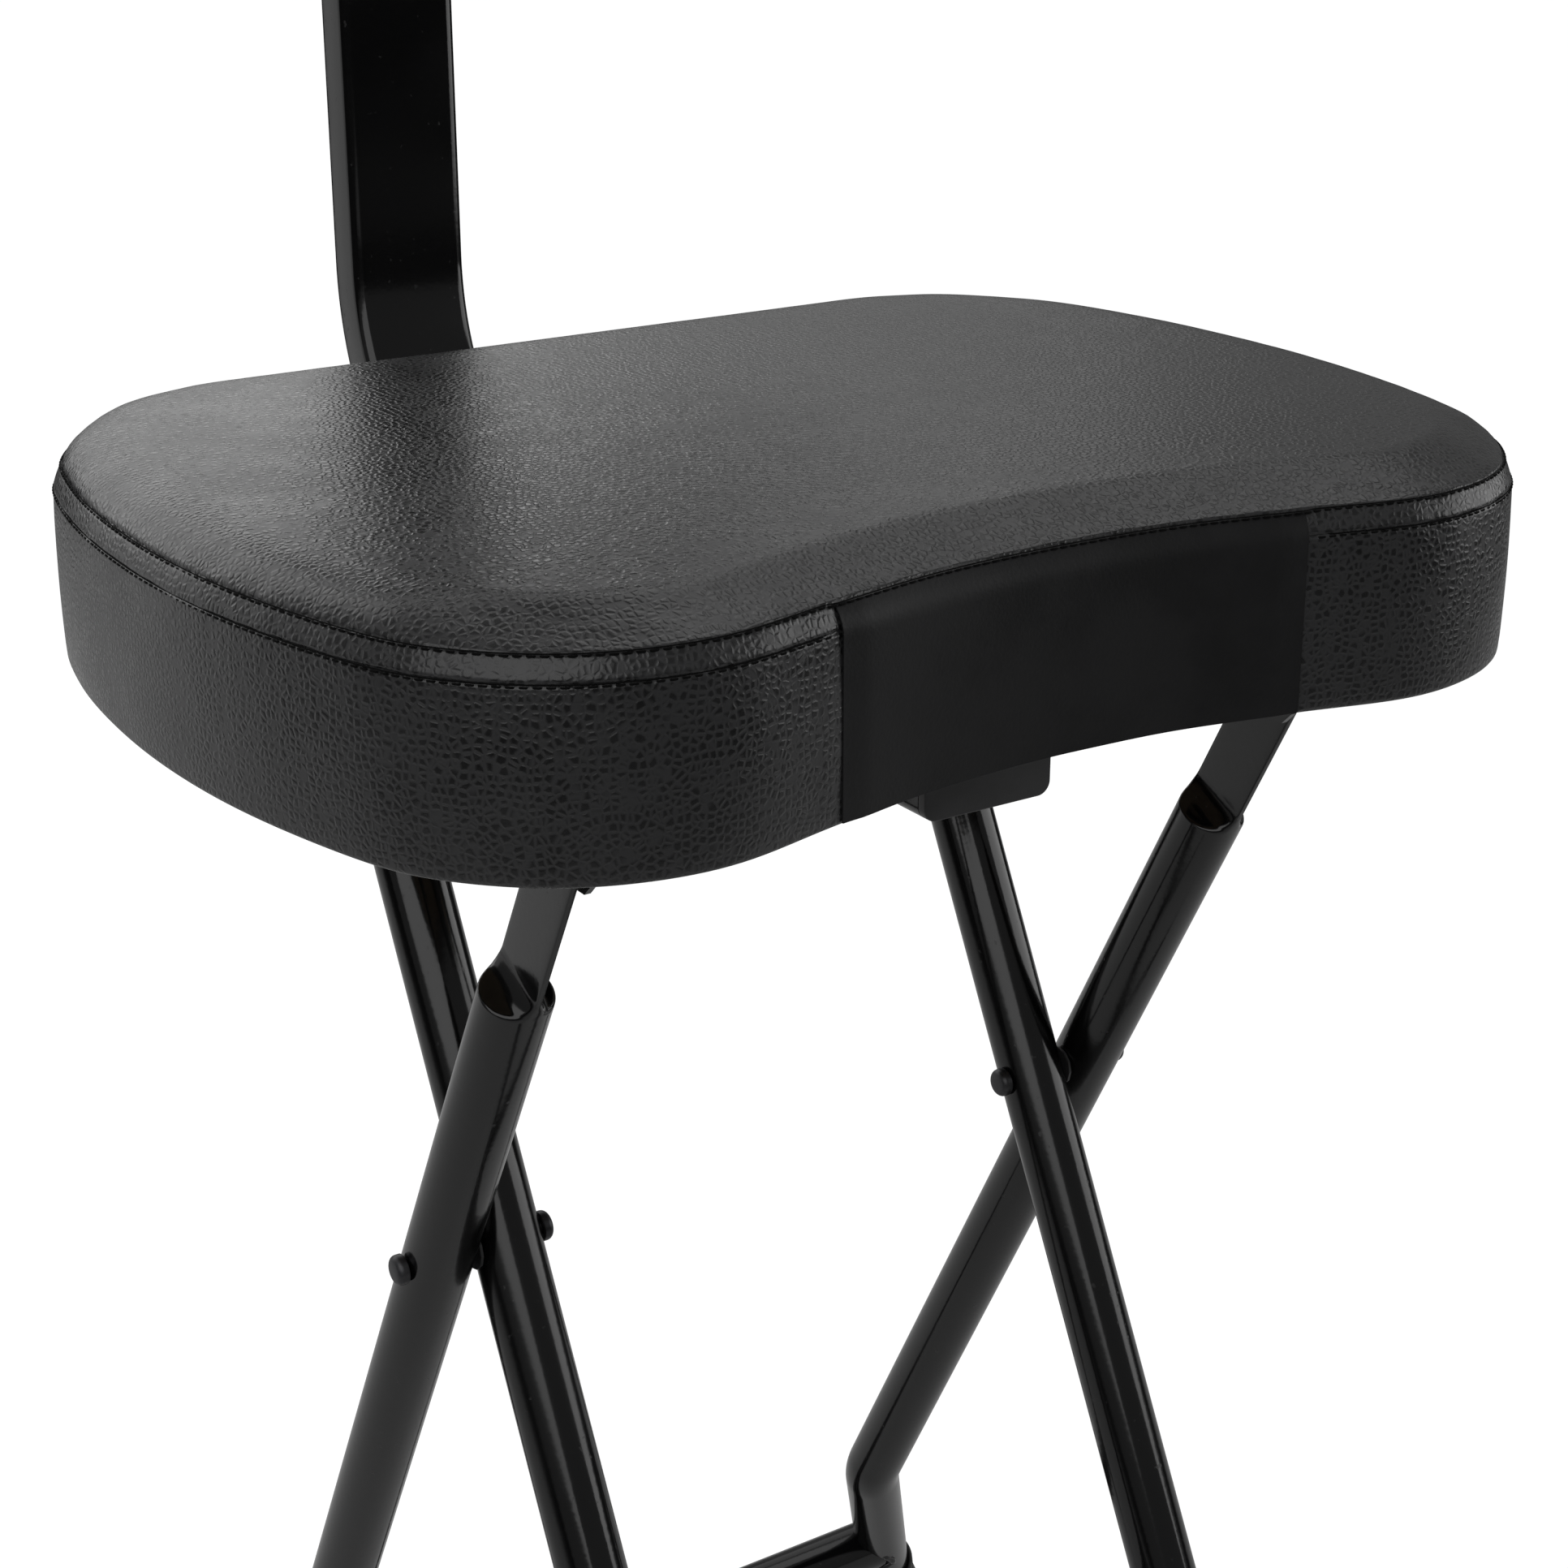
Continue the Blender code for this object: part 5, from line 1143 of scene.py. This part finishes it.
    def pucker(self, point):
        """Small uneven swelling of the cover at a point of the pad's own frame.

        It is gathered near the seams, broad elsewhere, and pressed in under
        the front panel.
        """
        size = self.sizes
        gather_width, gather_reach = 7 * MM, 9 * MM
        broad_width, middle_width = 52 * MM, 19 * MM
        broad_height, press_depth = 0.3 * MM, 0.5 * MM
        near = min(abs(point.z - size["lower_seam"]), abs(point.z - size["upper_seam"]))
        flat = Vector((point.x, point.y, 0))
        gathered = noise.noise(flat / gather_width) * (1 - smooth_step(0, gather_reach, near))
        broad = noise.noise(point / broad_width) + 0.4 * noise.noise(point / middle_width)
        broad *= 1 - 0.75 * smooth_step(size["upper_seam"], size["crown"], point.z)
        base = smooth_step(0, 10 * MM, point.z)
        swell = (gathered * self.settings.pucker + broad * broad_height) * base
        if self.front_ridge and point.y < 0 and point.z < size["upper_seam"]:
            beyond = abs(point.x) - FRONT_PANEL_HALF_WIDTH
            pressed_in = press_depth * (1 - smooth_step(-2 * MM, 1 * MM, beyond)) * base
            swell = swell * smooth_step(0, 14 * MM, beyond) - pressed_in
        return swell

    def cover_mesh(self, name):
        """The finished cover as a mesh in world coordinates."""
        rings = self.rings()
        bm = bmesh.new()
        add_loft(bm, rings)
        bmesh.ops.recalc_face_normals(bm, faces=bm.faces)
        bm.normal_update()
        still_below = self.sizes["board"] + COVER_THICKNESS + 1 * MM
        underside = -0.2
        moved = [(vert, vert.normal * self.pucker(vert.co)) for vert in bm.verts
                 if vert.normal.z > underside or vert.co.z > still_below]
        for vert, move in moved:
            vert.co += move
        mesh = mesh_from_bmesh(name, bm)
        mesh.transform(self.place)
        return mesh

    def flat_normals(self):
        """Outward unit vectors of the outline, level with the base."""
        return [Vector((normal.x, normal.y, 0)) for normal in self.normals]

    def seam_line(self, height, lifts):
        """Closed chain of points just under a seam; lifts(point) raises it."""
        below = height - STITCH_DROP
        chain = []
        for i, normal in enumerate(self.flat_normals()):
            point = self.point(i, self.side_offset(below), below)
            chain.append(point + normal * lifts(point))
        return chain


def seat_pad():
    """The seat's pad."""
    place = Matrix.Translation((0, CROSSING.y, SEAT_BOX[0].z))
    return Pad(seat_outline(), SEAT_PAD, place, 1.0)


def back_pad():
    """The backrest's pad, stood up with its crown to the front."""
    centre = Vector((0, BACK_BOX[1].y, (BACK_BOX[0].z + BACK_BOX[1].z) / 2))
    place = Matrix.Translation(centre) @ Matrix.Rotation(radians(90), 4, "X")
    return Pad(back_outline(), BACK_PAD, place, 0.0)


def add_stitch(bm, start, end, radius, lift):
    """Add one stitch: a short length of thread that dips at both ends."""
    along = end - start
    side = along.cross(lift).normalized()
    loops = []
    for share, thick, rise in STITCH_SHAPE:
        centre = start + along * share + lift * (radius * rise)
        loops.append([centre + (side * c + lift * s) * radius * thick
                      for c, s in circle(STITCH_SIDES)])
    add_loft(bm, loops)


def add_fold_shadow_cord(bm, chain, radius):
    """Add a thin dark cord in the fold of a seam, a painted shadow of the fold,
    closed or with one gap.
    """
    widest = 9 * MM
    gaps = [i for i in range(len(chain)) if (chain[i] - chain[i - 1]).length > widest]
    wrap = not gaps
    if gaps:
        chain = chain[gaps[0]:] + chain[:gaps[0]]
    loops = []
    for i, place in enumerate(chain):
        before = chain[i - 1] if i or wrap else place
        after = chain[(i + 1) % len(chain)] if i + 1 < len(chain) or wrap else place
        along = (after - before).normalized()
        side = Vector((along.y, -along.x, 0)).normalized()
        up = side.cross(along)
        loops.append([place + (side * c + up * s) * radius for c, s in circle(SHADOW_CORD_SIDES)])
    if not wrap:
        add_loft(bm, loops)
        return
    bridge(bm, [[bm.verts.new(point) for point in ring] for ring in loops], wrap=True)


def stitch_mesh(name, pad, height, skip, lifts):
    """A row of stitches along a seam, with a dark cord as the fold's painted shadow;
    skip(point) leaves stitches out.
    """
    settings = pad.settings
    radius = settings.thread_diameter / 2
    chain = pad.seam_line(height, lifts)
    total = sum((chain[(i + 1) % len(chain)] - chain[i]).length for i in range(len(chain)))
    count = round(total / settings.stitch_pitch)
    fine = spaced_points(chain, count * STITCH_PARTS)
    covered = round(STITCH_PARTS * settings.stitch_length / settings.stitch_pitch)
    bm = bmesh.new()
    for first in range(0, len(fine), STITCH_PARTS):
        start = fine[first]
        end = fine[(first + covered) % len(fine)]
        if not skip((start + end) / 2):
            along = (end - start).normalized()
            lift = Vector((along.y, -along.x, 0)).normalized()
            add_stitch(bm, start, end, radius, lift)
    # Painted shadow: a dark cord along the fold stands for the shade in the seam's fold
    fold = [point + Vector((0, 0, STITCH_DROP)) - normal * SHADOW_CORD_DEPTH
            for point, normal in zip(chain, pad.flat_normals()) if not skip(point)]
    add_fold_shadow_cord(bm, fold, radius * SHADOW_CORD_SHARE)
    mesh = mesh_from_bmesh(name, bm)
    mesh.transform(pad.place)
    return mesh


def front_panel_mesh(name, pad):
    """The smooth panel over the hollow front, from the hem to the upper seam."""
    size = pad.sizes
    low = 0.7 * MM
    high = size["upper_seam"] - 0.5 * MM
    outer_lift, inner_lift = 1.3 * MM, 0.12 * MM
    tuck_depth, tuck_reach = 0.55 * MM, 3 * MM
    belly_height, wave_height, wave_width = 0.4 * MM, 0.25 * MM, 26 * MM
    edge_drop, edge_columns = 0.72 * MM, 2.5
    columns = [i for i in range(-OUTLINE_POINTS // 4, OUTLINE_POINTS // 4)
               if abs(pad.outline[i].x) <= FRONT_PANEL_HALF_WIDTH]
    bm = bmesh.new()
    loops = []
    for row in range(PANEL_ROWS + 1):
        share = row / PANEL_ROWS
        height = low + (high - low) * share
        slope = min(1.0, height / size["lower_seam"])
        side = size["base_bulge"] + (size["seam_bulge"] - size["base_bulge"]) * slope
        if height > size["lower_seam"]:
            side = pad.side_offset(height)
        tuck = tuck_depth * (1 - smooth_step(0, tuck_reach, high - height))
        belly = belly_height * sin(pi * min(1.0, share * 1.02))
        outer, inner = [], []
        for number, i in enumerate(columns):
            near_end = min(number, len(columns) - 1 - number)
            round_end = 1 - smooth_step(0, edge_columns, near_end)
            spot = Vector((pad.outline[i].x, height * 0.4, 3.0)) / wave_width
            swell = belly + wave_height * noise.noise(spot)
            lift = outer_lift + swell * (1 - round_end) - edge_drop * round_end - tuck
            outer.append(bm.verts.new(pad.point(i, side + lift, height)))
            inner.append(bm.verts.new(pad.point(i, side + inner_lift - tuck, height)))
        loops.append(outer + inner[::-1])
    bridge(bm, loops)
    for loop in (loops[0], loops[-1]):
        for i in range(len(columns) - 1):
            bm.faces.new((loop[i], loop[i + 1], loop[-2 - i], loop[-1 - i]))
    mesh = mesh_from_bmesh(name, bm)
    mesh.transform(pad.place)
    return mesh


def build_pad(pad, label, body, replaced, skip_lower, lifts):
    """A cushion's cover with its two rows of stitches."""
    name = f"{label}_leather_cover"
    cover = add_piece(name, pad.cover_mesh(name), body, "grained_leather", replaced,
                      COVER_SHARP_ANGLE)
    for row, skip in (("upper", lambda point: False), ("lower", skip_lower)):
        name = f"{label}_{row}_stitches"
        mesh = stitch_mesh(name, pad, pad.sizes[f"{row}_seam"], skip, lifts)
        add_piece(name, mesh, body, "thread_and_painted_fold_shadow")


def build_seat_cushion():
    """The seat's cover, stitches and smooth front panel."""
    pad = seat_pad()

    def on_panel(point):
        return point.y < 0 and abs(point.x) < FRONT_PANEL_HALF_WIDTH + 1 * MM

    def over_panel(point):
        if point.y > 0:
            return 0.0
        beyond = abs(point.x) - FRONT_PANEL_HALF_WIDTH
        return PANEL_LIFT * (1 - smooth_step(-2 * MM, 1 * MM, beyond))

    build_pad(pad, "seat", "seat", ("seat_cover", "seat_foam"), on_panel, over_panel)
    name = "seat_smooth_panel"
    add_piece(name, front_panel_mesh(name, pad), "seat", "smooth_leather",
              ("seat_front_panel",), PANEL_SHARP_ANGLE)


def build_back_cushion():
    """The backrest's cover and stitches."""
    build_pad(back_pad(), "backrest", "backrest", ("back_cover", "back_foam"),
              lambda point: False, lambda point: 0.0)


# Back bar

def bar_section(inset=0.0):
    """Rounded rectangle across the bar, or one that lies inside it."""
    return rounded_rectangle(BAR_WIDTH - 2 * inset, BAR_THICKNESS - 2 * inset,
                             BAR_CORNER - inset, BAR_CORNER_STEPS)


def build_bar():
    """The bent rectangular tube with its two end caps."""
    upright_y = BAR_BOX[1].y - BAR_THICKNESS / 2
    middle_z = BAR_BOX[0].z + BAR_THICKNESS / 2
    start = Vector((0, BAR_BOX[0].y, middle_z))
    end = Vector((0, upright_y, BAR_BOX[1].z))
    path = bend_path(start, Vector((0, upright_y, middle_z)), end, BAR_BEND_RADIUS,
                     BAR_BEND_STEPS)
    section = bar_section()
    rings = tube_rings(path, ACROSS, lambda i: section)
    add_piece("curved_back_bar", loft_mesh("curved_back_bar", rings), "backrest",
              "gloss_black_coat", ("back_bar",))
    front_reach = start.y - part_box("bar_cap_front")[0].y
    top_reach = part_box("bar_cap_top")[1].z - end.z
    caps = (("front_bar_cap", "bar_cap_front", start, Vector((0, -1, 0)), front_reach),
            ("top_bar_cap", "bar_cap_top", end, Vector((0, 0, 1)), top_reach))
    for name, node, origin, direction, reach in caps:
        levels = [(0.0, GAP)]
        levels += [(BAR_CAP_EDGE * (1 - c), reach - BAR_CAP_EDGE + BAR_CAP_EDGE * s)
                   for c, s in quarter(EDGE_STEPS)]
        other = direction.cross(ACROSS)
        rings = [[origin + direction * along + ACROSS * p + other * q
                  for p, q in bar_section(inset)] for inset, along in levels]
        add_piece(name, loft_mesh(name, rings), "backrest", "moulded_plastic", (node,))


# Knob and the nodes that keep their own meshes

def build_knob():
    """The star knob with soft lobes, a dished face, a neck and its stud."""
    low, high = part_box("clamp_knob")
    centre = JOINTS["knob_turn"]
    lobes = 6
    lobe_share = 0.09
    edge = 2.4 * MM
    rim = (high.x - low.x) / 2 / (1 + lobe_share)
    neck_top = high.z - 3.2 * MM
    star_top = neck_top - 5 * MM
    neck_inset = rim - 7.0 * MM
    stud_inset = rim - 4.0 * MM

    def star(inset, height, flat=1.0):
        ring = []
        for i, (c, s) in enumerate(circle(KNOB_SIDES)):
            wave = cos(lobes * 2 * pi * i / KNOB_SIDES)
            out = (rim - inset) * (1 + lobe_share * flat * wave)
            ring.append(Vector((centre.x + out * c, centre.y + out * s, height)))
        return ring

    dish = ((0.62, 1.6 * MM, 0.0), (0.5, 1.2 * MM, 0.0), (0.46, 0.1 * MM, 0.2), (0.40, 0.0, 0.3))
    rings = [star(rim * share, low.z + rise, flat) for share, rise, flat in dish]
    rings += [star(edge * (1 - s), low.z + edge * (1 - c)) for c, s in quarter(EDGE_STEPS)]
    rings += [star(edge * (1 - c), star_top - edge + edge * s) for c, s in quarter(EDGE_STEPS)]
    for inset, height in ((neck_inset, star_top + 0.3 * MM), (neck_inset, neck_top),
                          (stud_inset, neck_top), (stud_inset, high.z)):
        rings.append(star(inset, height, 0.0))
    add_piece("star_knob", loft_mesh("star_knob", rings), "clamp_knob", "moulded_plastic",
              ("clamp_knob",))


def dress_small_nodes():
    """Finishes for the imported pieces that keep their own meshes."""
    finishes = {
        "gloss_black_coat": ("hinge_bracket", "bar_sleeve"),
        "blackened_steel": ("pivot_bolt", "pivot_nut", "bracket_screw", "saddle_screw",
                            "sleeve_screw", "back_screw"),
        "moulded_plastic": ("bar_saddle", "leg_washer", "pivot_washer"),
        "raw_plywood": ("seat_board", "back_board"),
    }
    for finish, beginnings in finishes.items():
        for node, piece in frame["nodes"].items():
            if node.startswith(beginnings):
                piece.data.materials.clear()
                piece.data.materials.append(material(finish))


# Floor, light and camera

def make_floor_material():
    """A pale floor that the camera sees nearly white, with its shadows kept.

    To other rays its colour is painted darker away from the stool, a painted
    pool of light, and near the stool it has a painted glow that only
    reflections see.
    """
    stage = bpy.context.scene.stool_stage
    made, tree, shader, place = start_material("pale_floor")
    shader.inputs["Roughness"].default_value = 0.7
    shader.inputs["Specular IOR Level"].default_value = 0.0
    shader.inputs["Emission Color"].default_value = (1.0, 1.0, 1.0, 1.0)
    rays, seen = camera_rays(tree)
    faint = shade(stage.floor, FAINT_FLOOR_SHARE)
    # Painted light: the floor's colour is painted darker with distance from the stool, a painted
    # pool of light seen in reflections and bounced light
    painted_light_distance = vector_node(tree, "DISTANCE", place, PAINTED_LIGHT_CENTRE)
    painted_dusk = range_node(tree, painted_light_distance.outputs["Value"], PAINTED_LIGHT_FADE, UNIT)
    pale = mix_colours(tree, painted_dusk, stage.floor, faint)
    tree.links.new(mix_colours(tree, seen, pale, faint), shader.inputs["Base Color"])
    far = new_node(tree, "ShaderNodeVectorMath", operation="LENGTH")
    tree.links.new(place, far.inputs[0])
    white = range_node(tree, far.outputs["Value"], WHITE_FLOOR_FADE, (0.95, 1.0))
    glow = math_node(tree, "MULTIPLY", seen, white)
    # Painted glow: near the stool the floor gives off a little light in reflections only, though
    # it is no lamp
    near = math_node(tree, "MULTIPLY", math_node(tree, "SUBTRACT", 1.0, painted_dusk),
                     stage.painted_floor_glow)
    shine = math_node(tree, "MULTIPLY", rays.outputs["Is Glossy Ray"], near)
    tree.links.new(math_node(tree, "MAXIMUM", glow, shine), shader.inputs["Emission Strength"])
    return made


def camera_rays(tree):
    """A Light Path node, and a socket that is 1 for what the camera sees."""
    rays = new_node(tree, "ShaderNodeLightPath")
    return rays, math_node(tree, "MAXIMUM", rays.outputs["Is Camera Ray"],
                           rays.outputs["Is Transmission Ray"])


def build_floor():
    """A large floor under the feet."""
    bm = bmesh.new()
    bmesh.ops.create_grid(bm, x_segments=8, y_segments=8, size=FLOOR_HALF_SIZE)
    floor = bpy.data.objects.new("studio_floor", mesh_from_bmesh("studio_floor", bm))
    floor.data.materials.append(make_floor_material())
    bpy.context.scene.collection.objects.link(floor)


def build_world():
    """A dim room for the object, and white for what the camera sees."""
    white_in_gloss = 0.1
    world = bpy.data.worlds.new("studio_room")
    world.use_nodes = True
    tree = world.node_tree
    tree.nodes.clear()
    rays, seen = camera_rays(tree)
    room = new_node(tree, "ShaderNodeBackground")
    room.inputs["Strength"].default_value = bpy.context.scene.stool_stage.room
    white = new_node(tree, "ShaderNodeBackground")
    white.inputs["Color"].default_value = (1, 1, 1, 1)
    white.inputs["Strength"].default_value = 1.0
    glossy = math_node(tree, "MULTIPLY", rays.outputs["Is Glossy Ray"], white_in_gloss)
    mix = new_node(tree, "ShaderNodeMixShader")
    tree.links.new(math_node(tree, "MAXIMUM", seen, glossy), mix.inputs["Fac"])
    tree.links.new(room.outputs[0], mix.inputs[1])
    tree.links.new(white.outputs[0], mix.inputs[2])
    out = new_node(tree, "ShaderNodeOutputWorld")
    tree.links.new(mix.outputs[0], out.inputs["Surface"])
    bpy.context.scene.world = world


def add_softbox(name, azimuth, elevation, distance, width, height, radiance):
    """A soft area lamp that faces the stool; azimuth 0 is behind it."""
    a = radians(azimuth)
    e = radians(elevation)
    toward = Vector((sin(a) * cos(e), cos(a) * cos(e), sin(e)))
    data = bpy.data.lights.new(name, "AREA")
    data.shape = "RECTANGLE"
    data.size = width
    data.size_y = height
    data.energy = radiance * pi * width * height
    lamp = bpy.data.objects.new(name, data)
    lamp.location = Vector((0, CROSSING.y, SOFTBOX_AIM)) + toward * distance
    lamp.rotation_mode = "QUATERNION"
    lamp.rotation_quaternion = (-toward).to_track_quat("-Z", "Y")
    lamp.visible_camera = False
    bpy.context.scene.collection.objects.link(lamp)


def build_lights():
    """The six softboxes round the stool."""
    stage = bpy.context.scene.stool_stage
    for name, (*place_and_size, setting, share) in SOFTBOXES.items():
        add_softbox(name, *place_and_size, getattr(stage, setting) * share)


def build_camera():
    """The camera at the photograph's viewing angle."""
    data = bpy.data.cameras.new("photo_camera")
    data.sensor_width = 36.0
    data.lens = bpy.context.scene.stool_stage.lens
    data.clip_start = 0.05
    camera = bpy.data.objects.new("photo_camera", data)
    camera.location = CROSSING + Vector(CAMERA_PLACE)
    camera.rotation_euler = (radians(90 - CAMERA_FALL), 0, radians(-CAMERA_TURN))
    bpy.context.scene.collection.objects.link(camera)
    bpy.context.scene.camera = camera


# Operators, panel and registration

class STOOL_OT_finishes(bpy.types.Operator):
    """Build the node groups that the finishes share"""
    bl_idname = "stool.finishes"
    bl_label = "Shared finish effects"

    def execute(self, context):
        make_pebble_group()
        make_ripple_group()
        make_mottle_group()
        make_wood_group()
        return {"FINISHED"}


class STOOL_OT_legs(bpy.types.Operator):
    """Build the crossed legs and the tubes across them"""
    bl_idname = "stool.legs"
    bl_label = "Legs and cross tubes"

    def execute(self, context):
        build_legs()
        return {"FINISHED"}


class STOOL_OT_feet(bpy.types.Operator):
    """Build the rubber boots"""
    bl_idname = "stool.feet"
    bl_label = "Rubber boots"

    def execute(self, context):
        build_feet()
        return {"FINISHED"}


class STOOL_OT_fittings(bpy.types.Operator):
    """Build the rivets and plugs, and dress the small fittings"""
    bl_idname = "stool.fittings"
    bl_label = "Rivets, plugs and fittings"

    def execute(self, context):
        build_plugs()
        build_rivets()
        dress_small_nodes()
        return {"FINISHED"}


class STOOL_OT_seat(bpy.types.Operator):
    """Build the seat cushion with its stitches and front panel"""
    bl_idname = "stool.seat"
    bl_label = "Seat cushion"

    def execute(self, context):
        build_seat_cushion()
        return {"FINISHED"}


class STOOL_OT_backrest(bpy.types.Operator):
    """Build the backrest cushion with its stitches"""
    bl_idname = "stool.backrest"
    bl_label = "Backrest cushion"

    def execute(self, context):
        build_back_cushion()
        return {"FINISHED"}


class STOOL_OT_bar(bpy.types.Operator):
    """Build the bent bar and its end caps"""
    bl_idname = "stool.bar"
    bl_label = "Back bar"

    def execute(self, context):
        build_bar()
        return {"FINISHED"}


class STOOL_OT_knob(bpy.types.Operator):
    """Build the star knob that clamps the bar"""
    bl_idname = "stool.knob"
    bl_label = "Clamp knob"

    def execute(self, context):
        build_knob()
        return {"FINISHED"}


class STOOL_OT_stage(bpy.types.Operator):
    """Build the floor, the light and the camera"""
    bl_idname = "stool.stage"
    bl_label = "Studio"

    def execute(self, context):
        build_floor()
        build_world()
        build_lights()
        build_camera()
        context.scene.view_settings.view_transform = "Standard"
        return {"FINISHED"}


OPERATORS = (STOOL_OT_finishes, STOOL_OT_stage, STOOL_OT_legs, STOOL_OT_feet,
             STOOL_OT_fittings, STOOL_OT_seat, STOOL_OT_backrest, STOOL_OT_bar,
             STOOL_OT_knob)


class STOOL_PT_panel(bpy.types.Panel):
    """The stool's pieces and settings in the sidebar"""
    bl_idname = "STOOL_PT_panel"
    bl_label = "Folding guitar stool"
    bl_space_type = "VIEW_3D"
    bl_region_type = "UI"
    bl_category = "Stool"

    def draw(self, context):
        for operator in OPERATORS:
            self.layout.operator(operator.bl_idname)
        for settings in (context.scene.stool_paint, context.scene.stool_pad,
                         context.scene.stool_stage):
            box = self.layout.box()
            for name in settings.__annotations__:
                box.prop(settings, name)


SETTINGS = {"stool_paint": StoolPaintSettings, "stool_pad": StoolPadSettings,
            "stool_stage": StoolStageSettings}


def register():
    """Add the settings, the operators and the panel."""
    for name, group in SETTINGS.items():
        bpy.utils.register_class(group)
        setattr(bpy.types.Scene, name, PointerProperty(type=group))
    for cls in (*OPERATORS, STOOL_PT_panel):
        bpy.utils.register_class(cls)


def unregister():
    """Take the panel, the operators and the settings away again."""
    for cls in reversed((*OPERATORS, STOOL_PT_panel)):
        bpy.utils.unregister_class(cls)
    for name, group in SETTINGS.items():
        delattr(bpy.types.Scene, name)
        bpy.utils.unregister_class(group)


def main():
    """Build every piece in order."""
    register()
    bpy.ops.stool.finishes()
    bpy.ops.stool.stage()
    bpy.ops.stool.legs()
    bpy.ops.stool.feet()
    bpy.ops.stool.fittings()
    bpy.ops.stool.seat()
    bpy.ops.stool.backrest()
    bpy.ops.stool.bar()
    bpy.ops.stool.knob()


if __name__ == "__main__":
    main()
